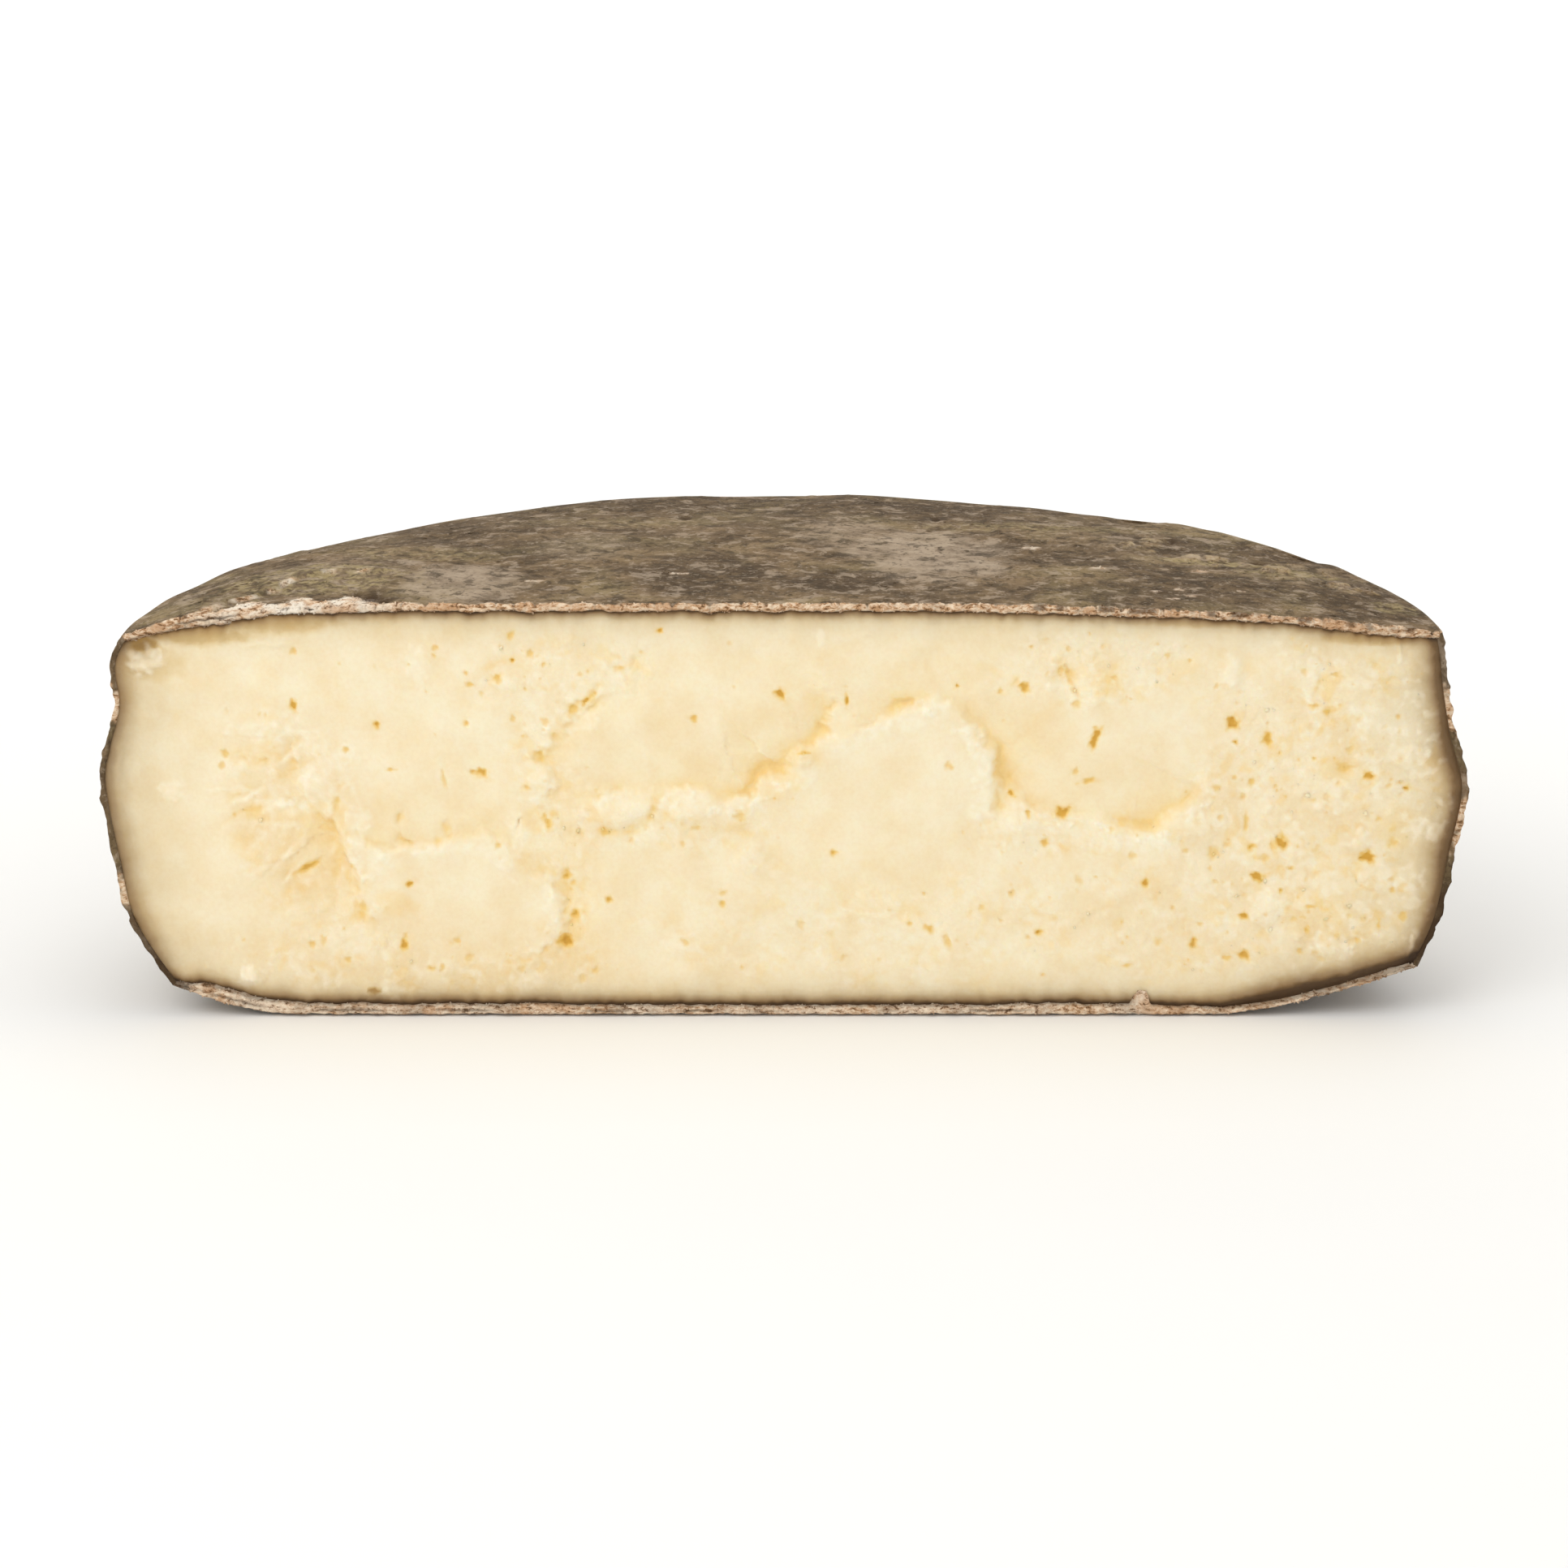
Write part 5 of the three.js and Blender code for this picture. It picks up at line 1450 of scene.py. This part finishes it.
    @staticmethod
    def base_point(x, y):
        """The underside of the base's crust."""
        theta = np.arctan2(y, x)
        r = np.hypot(x, y)
        foot, corner = blended(theta, "foot"), knot(theta, -1, 0)
        rise = np.clip((r - foot) / (corner - foot), 0, 1)
        z = knot(theta, -1, 1) * rise ** blended(theta, "foot_sweep")
        ragged = np.exp(-((y / 1.2) ** 2)) * np.abs(ripple(x, y, 2.4, 109))
        rough = 0.12 * (1 + ripple(x, y, 5, 108)) + 0.35 * ragged
        return np.stack([x, y, z + rough * smooth(1 - rise, 0, 0.1)], -1)

    def side(self):
        """The side's crust, and what its material reads of it."""
        skin = Skin()
        t = np.linspace(0, 1, self.SIDE_COLUMNS + 1)
        theta = math.pi * (t - self.SIDE_CROWDING * np.sin(2 * math.pi * t) / (2 * math.pi))
        runs = np.linspace(1, 2, self.SIDE_ROWS + 1)
        outer = skin.add_points(self.side_point(theta[None], runs[:, None], 0.0))
        inner_theta = np.linspace(0, math.pi, self.INNER_COLUMNS + 1)
        inner = skin.add_points(self.side_point(inner_theta[None], runs[:, None], 1.0))
        skin.add_grid(outer)
        skin.add_grid(inner[:, ::-1])
        right = self.side_end(skin, 0.0, runs, outer[:, 0], inner[:, 0], RIGHT_SEED)
        left = self.side_end(skin, math.pi, runs, outer[:, -1], inner[:, -1], LEFT_SEED)
        for row in (0, -1):
            inward = np.concatenate([right[row, 1:-1], inner[row], left[row, 1:-1][::-1]])
            padding = self.FACE_STEPS - 1
            angles = np.concatenate([np.zeros(padding), inner_theta, np.full(padding, math.pi)])
            skin.add_zip(outer[row], theta, inward, angles)
        made = skin.to_object("rind_side")
        points = in_wheel(made.data)
        px, py, pz = points.T
        arc = np.arctan2(py, px) * np.hypot(px, py)
        end = 1 - smooth(py, 0.3, 1.0)
        chips = sum(np.exp(-(((pz - z) / half) ** 4)) * (px * which > 0) for which, z, half in SIDE_CHIPS)
        chips = smooth(chips + 0.5 * ripple(pz, px, 1.6, 112) + 0.3 * ripple(pz, px, 5, 111), 0.45, 0.9)
        deep = 0.3 + 0.6 * (1 - smooth(pz, 24, 38)) * (0.6 + 0.4 * (px > 0)) + 0.25 * ripple(pz, px, 4, 89)
        bands = patches(SIDE_BANDS, 0 * px, pz, 0.8 * ripple(arc, pz, 16, 113))
        return made, {
            "broken": np.maximum(0.85 * end * chips, 0.2 * smooth(ripple(arc, pz, 12, 114), 0.35, 0.7)),
            "bloom": 0.6 * smooth(ripple(arc, pz, 30, 115) + 0.5 * ripple(arc, pz, 9, 116), 0.1, 0.8),
            "dark": np.maximum(0.7 * smooth(ripple(arc, pz, 24, 117), 0, 0.7), 0.4 * end),
            "ochre": bands,
            "stain": end * (1 - chips) * deep,
        }

    @staticmethod
    def side_point(theta, run, inset):
        """The side's outer surface (inset 0) or its smooth inner one (inset 1)."""
        r, z = rind_surface(theta + 0 * run, run + 0 * theta)
        arc = theta * WAIST + 0 * run
        held = smooth(run - 1, 0, 0.03) * smooth(2 - run, 0, 0.05)
        end = np.exp(-((np.minimum(theta, math.pi - theta) * WAIST / 1.5) ** 2))
        rough = felt_relief(arc + 400, z) + 0.3 * ripple(arc, z * 2.2, 14, 118)
        ragged = ripple(z, 0 * z + np.cos(theta) * 9, 3.4, 119) + 0.5 * ripple(z, 0 * z, 1.3, 120)
        ragged = 0.5 * end * ragged
        r = r + (rough * (1 - 0.6 * end) + 1.1 * ragged) * held * (1 - inset)
        return in_space(theta, r - inset * SIDE_CRUST, z)

    def side_end(self, skin, theta, runs, outer, inner, seed):
        """The broken end of the side's crust, on the cut: a grid across its thickness."""
        points = np.concatenate(skin.points)
        w = np.linspace(0, 1, self.FACE_STEPS + 1)[None, 1:-1, None]
        grid = points[outer][:, None] * (1 - w) + points[inner][:, None] * w
        out = 0.2 * np.sin(math.pi * w[..., 0]) + 0.5 * broken_relief(grid[..., 2], grid[..., 0], seed + 121)
        grid[..., 1] = -out * smooth(runs - 1, 0, 0.02)[:, None] * smooth(2 - runs, 0, 0.02)[:, None]
        middle = skin.add_points(grid)
        index = np.concatenate([outer[:, None], middle, inner[:, None]], 1)
        skin.add_grid(index if theta == 0 else index[:, ::-1])
        return index


def scatter_tree(name, form, material):
    """A node tree that scatters small lumps over a mesh, thickest where the named attribute is high."""
    tree = bpy.data.node_groups.new(name, "GeometryNodeTree")
    face = tree.interface
    face.new_socket("Geometry", in_out="OUTPUT", socket_type="NodeSocketGeometry")
    face.new_socket("Geometry", in_out="INPUT", socket_type="NodeSocketGeometry")
    for label in ("Density", "Smallest", "Largest", "Flatness"):
        face.new_socket(label, in_out="INPUT", socket_type="NodeSocketFloat")
    face.new_socket("Seed", in_out="INPUT", socket_type="NodeSocketInt")
    given = add_node(tree, "NodeGroupInput").outputs
    where = add_node(tree, "GeometryNodeInputNamedAttribute", {"data_type": "FLOAT"}, {"Name": form["where"]})
    sockets = {0: given["Density"], 1: where.outputs[0]}
    density = add_node(tree, "ShaderNodeMath", {"operation": "MULTIPLY"}, sockets)
    spread = add_node(tree, "GeometryNodeDistributePointsOnFaces", {"distribute_method": "RANDOM"}, {
        "Mesh": given["Geometry"], "Density": density.outputs[0], "Seed": given["Seed"],
    })
    variants = add_node(tree, "GeometryNodeJoinGeometry")
    for number in range(form["variants"]):
        sockets = {"Radius": 1.0, "Subdivisions": form["subdivisions"]}
        ball = add_node(tree, "GeometryNodeMeshIcoSphere", None, sockets)
        place = add_node(tree, "GeometryNodeInputPosition").outputs[0]
        sockets = {0: place, 1: (7.0 * number, 3.0, 1.0)}
        shifted = add_node(tree, "ShaderNodeVectorMath", {"operation": "ADD"}, sockets)
        sockets = {"Vector": shifted.outputs[0], "Scale": 1.3, "Detail": 1.0}
        lumps = add_node(tree, "ShaderNodeTexNoise", None, sockets)
        sockets = {0: lumps.outputs[0], 1: 0.3, 2: 0.7, 3: 0.55, 4: 1.35}
        grown = add_node(tree, "ShaderNodeMapRange", None, sockets)
        sockets = {0: place, "Scale": grown.outputs[0]}
        moved = add_node(tree, "ShaderNodeVectorMath", {"operation": "SCALE"}, sockets)
        sockets = {"Geometry": ball.outputs["Mesh"], "Position": moved.outputs[0]}
        lump = add_node(tree, "GeometryNodeSetPosition", None, sockets)
        single = add_node(tree, "GeometryNodeGeometryToInstance", None, {"Geometry": lump.outputs[0]})
        tree.links.new(single.outputs[0], variants.inputs[0])
    pick = add_node(tree, "FunctionNodeRandomValue", {"data_type": "INT"}, {
        "Max_002": form["variants"] - 1, "Seed": 5,
    })
    size = add_node(tree, "FunctionNodeRandomValue", {"data_type": "FLOAT"}, {"Seed": 6})
    small_share = add_node(tree, "ShaderNodeMath", {"operation": "POWER"}, {0: size.outputs[1], 1: 2.2})
    scale = add_node(tree, "ShaderNodeMapRange", None, {
        0: small_share.outputs[0], 1: 0.0, 2: 1.0, 3: given["Smallest"], 4: given["Largest"],
    })
    stretch = add_node(tree, "FunctionNodeRandomValue", {"data_type": "FLOAT_VECTOR"}, {
        0: (0.75, 0.6, 0.7), 1: (1.5, 1.05, 1.0), "Seed": 7,
    })
    flat = add_node(tree, "ShaderNodeCombineXYZ", None, {0: 1.0, 1: 1.0, 2: given["Flatness"]})
    form_scale = add_node(tree, "ShaderNodeVectorMath", {"operation": "MULTIPLY"}, {
        0: stretch.outputs[0], 1: flat.outputs[0],
    })
    full_scale = add_node(tree, "ShaderNodeVectorMath", {"operation": "SCALE"}, {
        0: form_scale.outputs[0], "Scale": scale.outputs[0],
    })
    spin = add_node(tree, "FunctionNodeRandomValue", {"data_type": "FLOAT_VECTOR"}, {
        0: (-form["tilt"], -form["tilt"], -math.pi), 1: (form["tilt"], form["tilt"], math.pi), "Seed": 8,
    })
    laid = add_node(tree, "GeometryNodeInstanceOnPoints", None, {
        "Points": spread.outputs["Points"], "Instance": variants.outputs[0], "Pick Instance": True,
        "Instance Index": pick.outputs[2], "Rotation": spread.outputs["Rotation"],
        "Scale": full_scale.outputs[0],
    })
    spun = add_node(tree, "GeometryNodeRotateInstances", None, {
        "Instances": laid.outputs[0], "Rotation": spin.outputs[0],
    })
    real = add_node(tree, "GeometryNodeRealizeInstances", None, {"Geometry": spun.outputs[0]})
    shaded = add_node(tree, "GeometryNodeSetShadeSmooth", None, {"Geometry": real.outputs[0]})
    sockets = {"Geometry": shaded.outputs[0], "Material": material}
    named = add_node(tree, "GeometryNodeSetMaterial", None, sockets)
    add_node(tree, "NodeGroupOutput", None, {"Geometry": named.outputs[0]})
    return tree


def scatter(name, ground, form, values):
    """Scatters lumps over a piece and leaves them as a plain mesh of their own."""
    material = ground.data.materials[0]
    made = bpy.data.objects.new(name, ground.data.copy())
    bpy.context.scene.collection.objects.link(made)
    tree = scatter_tree(name, form, material)
    nodes = made.modifiers.new(name, "NODES")
    nodes.node_group = tree
    for item in tree.interface.items_tree:
        if item.in_out == "INPUT" and item.name in values:
            nodes[item.identifier] = values[item.name]
    settle(made)
    if not made.data.polygons:
        raise RuntimeError(f"{name} came out empty")
    dress(made, material, replaces=False)


class CHEESE_OT_crumbs(bpy.types.Operator):
    """Scatters loose paste crumbs in the hollows and on the ledges of the cut"""

    bl_idname = "cheese.crumbs"
    bl_label = "Scatter Crumbs"

    def execute(self, context):
        settings = context.scene.cheese_paste
        form = {"where": "bed", "variants": 5, "subdivisions": 2, "tilt": math.pi}
        values = {"Density": settings.loose_crumbs, "Largest": settings.crumb_size, **CRUMBS}
        scatter("paste_crumbs", bpy.data.objects["paste"], form, values)
        return {"FINISHED"}


class CHEESE_OT_grains(bpy.types.Operator):
    """Scatters grains on the broken crust and flakes of mould over the rind"""

    bl_idname = "cheese.grains"
    bl_label = "Scatter Grains"

    def execute(self, context):
        settings = context.scene.cheese_rind
        grain = {"where": "grainy", "variants": 4, "subdivisions": 1, "tilt": math.pi}
        flake = {"where": "flaky", "variants": 4, "subdivisions": 1, "tilt": 0.1}
        values = {"Density": settings.grains, **GRAINS}
        top = bpy.data.objects["rind_top"]
        points = in_wheel(top.data)
        shoulder = knot(np.arctan2(points[:, 1], points[:, 0]), 0, 0)
        inside = shoulder - np.hypot(points[:, 0], points[:, 1])
        above = points[:, 2] > cut_top(points[:, 0]) - 6
        mark(top, "flaky", smooth(points[:, 1], 1.5, 4) * smooth(inside, 4, 16) * above)
        for name in ("rind_top", "rind_base"):
            ground = bpy.data.objects[name]
            broken = np.empty(len(ground.data.vertices))
            ground.data.attributes["broken"].data.foreach_get("value", broken)
            mark(ground, "grainy", broken * smooth(in_wheel(ground.data)[:, 2], 0.5, 0.9))
            scatter(name.replace("rind", "grains"), ground, grain, values)
        values = {"Density": settings.flakes, **MOULD_FLAKES}
        scatter("mould_flakes", top, flake, values)
        return {"FINISHED"}


class CHEESE_OT_studio(bpy.types.Operator):
    """Sets the pale floor, the soft lights and the camera"""

    bl_idname = "cheese.studio"
    bl_label = "Set Studio"

    def execute(self, context):
        settings = context.scene.cheese_studio
        context.scene.view_settings.view_transform = "Standard"
        self.add_floor(settings)
        self.add_light("key", (-0.55, CUT_Y - 0.75, 0.95), (0, CUT_Y, 0.05), 0.9, settings.key)
        self.add_light("top", (0.15, 0.15, 1.1), (0, 0, 0.05), 0.8, settings.key * 0.4)
        self.add_light("backdrop", (0, 1.4, 2.2), (0, 3.2, 0.9), 2.5, settings.key * 9)
        world = bpy.data.worlds.new("studio")
        world.use_nodes = True
        sky = world.node_tree.nodes["Background"].inputs
        sky["Color"].default_value = (1, 1, 1, 1)
        sky["Strength"].default_value = settings.fill
        context.scene.world = world
        camera = bpy.data.objects.new("camera", bpy.data.cameras.new("camera"))
        camera.data.lens = settings.lens
        camera.data.sensor_width = 36
        camera.data.clip_end = 20
        camera.location = (0, CUT_Y - settings.distance, settings.height)
        camera.rotation_euler = (math.pi / 2 - settings.pitch, 0, 0)
        context.scene.collection.objects.link(camera)
        context.scene.camera = camera
        return {"FINISHED"}

    def add_floor(self, settings):
        """A sheet of pale paper that curves up far behind, so that no horizon shows."""
        points = [(side * FLOOR_HALF_WIDTH, y, z - FLOOR_DROP) for y, z in FLOOR_PATH for side in (-1, 1)]
        faces = [(2 * i, 2 * i + 1, 2 * i + 3, 2 * i + 2) for i in range(len(FLOOR_PATH) - 1)]
        mesh = bpy.data.meshes.new("floor")
        mesh.from_pydata(points, [], faces)
        mesh.shade_smooth()
        floor = bpy.data.objects.new("floor", mesh)
        bpy.context.scene.collection.objects.link(floor)
        material, tree = new_material("Pale matt paper")
        place = add_node(tree, "ShaderNodeTexCoord").outputs["Object"]
        shade = ranged(tree, noise_at(tree, place, PAPER_CLOUD), 0.3, 0.7, 0, 0.02)
        colour = mixed(tree, shade, tuple(settings.floor), linear(PAPER_SHADE))
        shader = add_node(tree, "ShaderNodeBsdfPrincipled", None, {"Base Color": colour, "Roughness": 0.9})
        add_node(tree, "ShaderNodeOutputMaterial", None, {"Surface": shader.outputs["BSDF"]})
        mesh.materials.append(material)

    @staticmethod
    def add_light(name, place, target, size, power):
        """A soft round light at this place, turned to its target, with its width and power."""
        lamp = bpy.data.lights.new(name, "AREA")
        lamp.shape = "DISK"
        lamp.size = size
        lamp.energy = power
        light = bpy.data.objects.new(name, lamp)
        light.location = place
        x, y, z = np.subtract(target, place)
        light.rotation_euler = (math.atan2(math.hypot(x, y), -z), 0, math.atan2(y, x) - math.pi / 2)
        bpy.context.scene.collection.objects.link(light)


class CHEESE_PT_panel(bpy.types.Panel):
    bl_label = "Cheese"
    bl_idname = "CHEESE_PT_panel"
    bl_space_type = "VIEW_3D"
    bl_region_type = "UI"
    bl_category = "Cheese"

    def draw(self, context):
        for step in STEPS:
            self.layout.operator(step)
        for group in (context.scene.cheese_paste, context.scene.cheese_rind, context.scene.cheese_studio):
            for name in group.__annotations__:
                self.layout.prop(group, name)


CLASSES = (
    PasteSettings, RindSettings, StudioSettings, CHEESE_OT_paste, CHEESE_OT_rind, CHEESE_OT_crumbs,
    CHEESE_OT_grains, CHEESE_OT_studio, CHEESE_PT_panel,
)
STEPS = ("cheese.studio", "cheese.paste", "cheese.rind", "cheese.crumbs", "cheese.grains")


def register():
    for item in CLASSES:
        bpy.utils.register_class(item)
    bpy.types.Scene.cheese_paste = bpy.props.PointerProperty(type=PasteSettings)
    bpy.types.Scene.cheese_rind = bpy.props.PointerProperty(type=RindSettings)
    bpy.types.Scene.cheese_studio = bpy.props.PointerProperty(type=StudioSettings)


def unregister():
    del bpy.types.Scene.cheese_paste
    del bpy.types.Scene.cheese_rind
    del bpy.types.Scene.cheese_studio
    for item in reversed(CLASSES):
        bpy.utils.unregister_class(item)


def main():
    register()
    for step in STEPS:
        group, name = step.split(".")
        getattr(getattr(bpy.ops, group), name)()


if __name__ == "__main__":
    main()
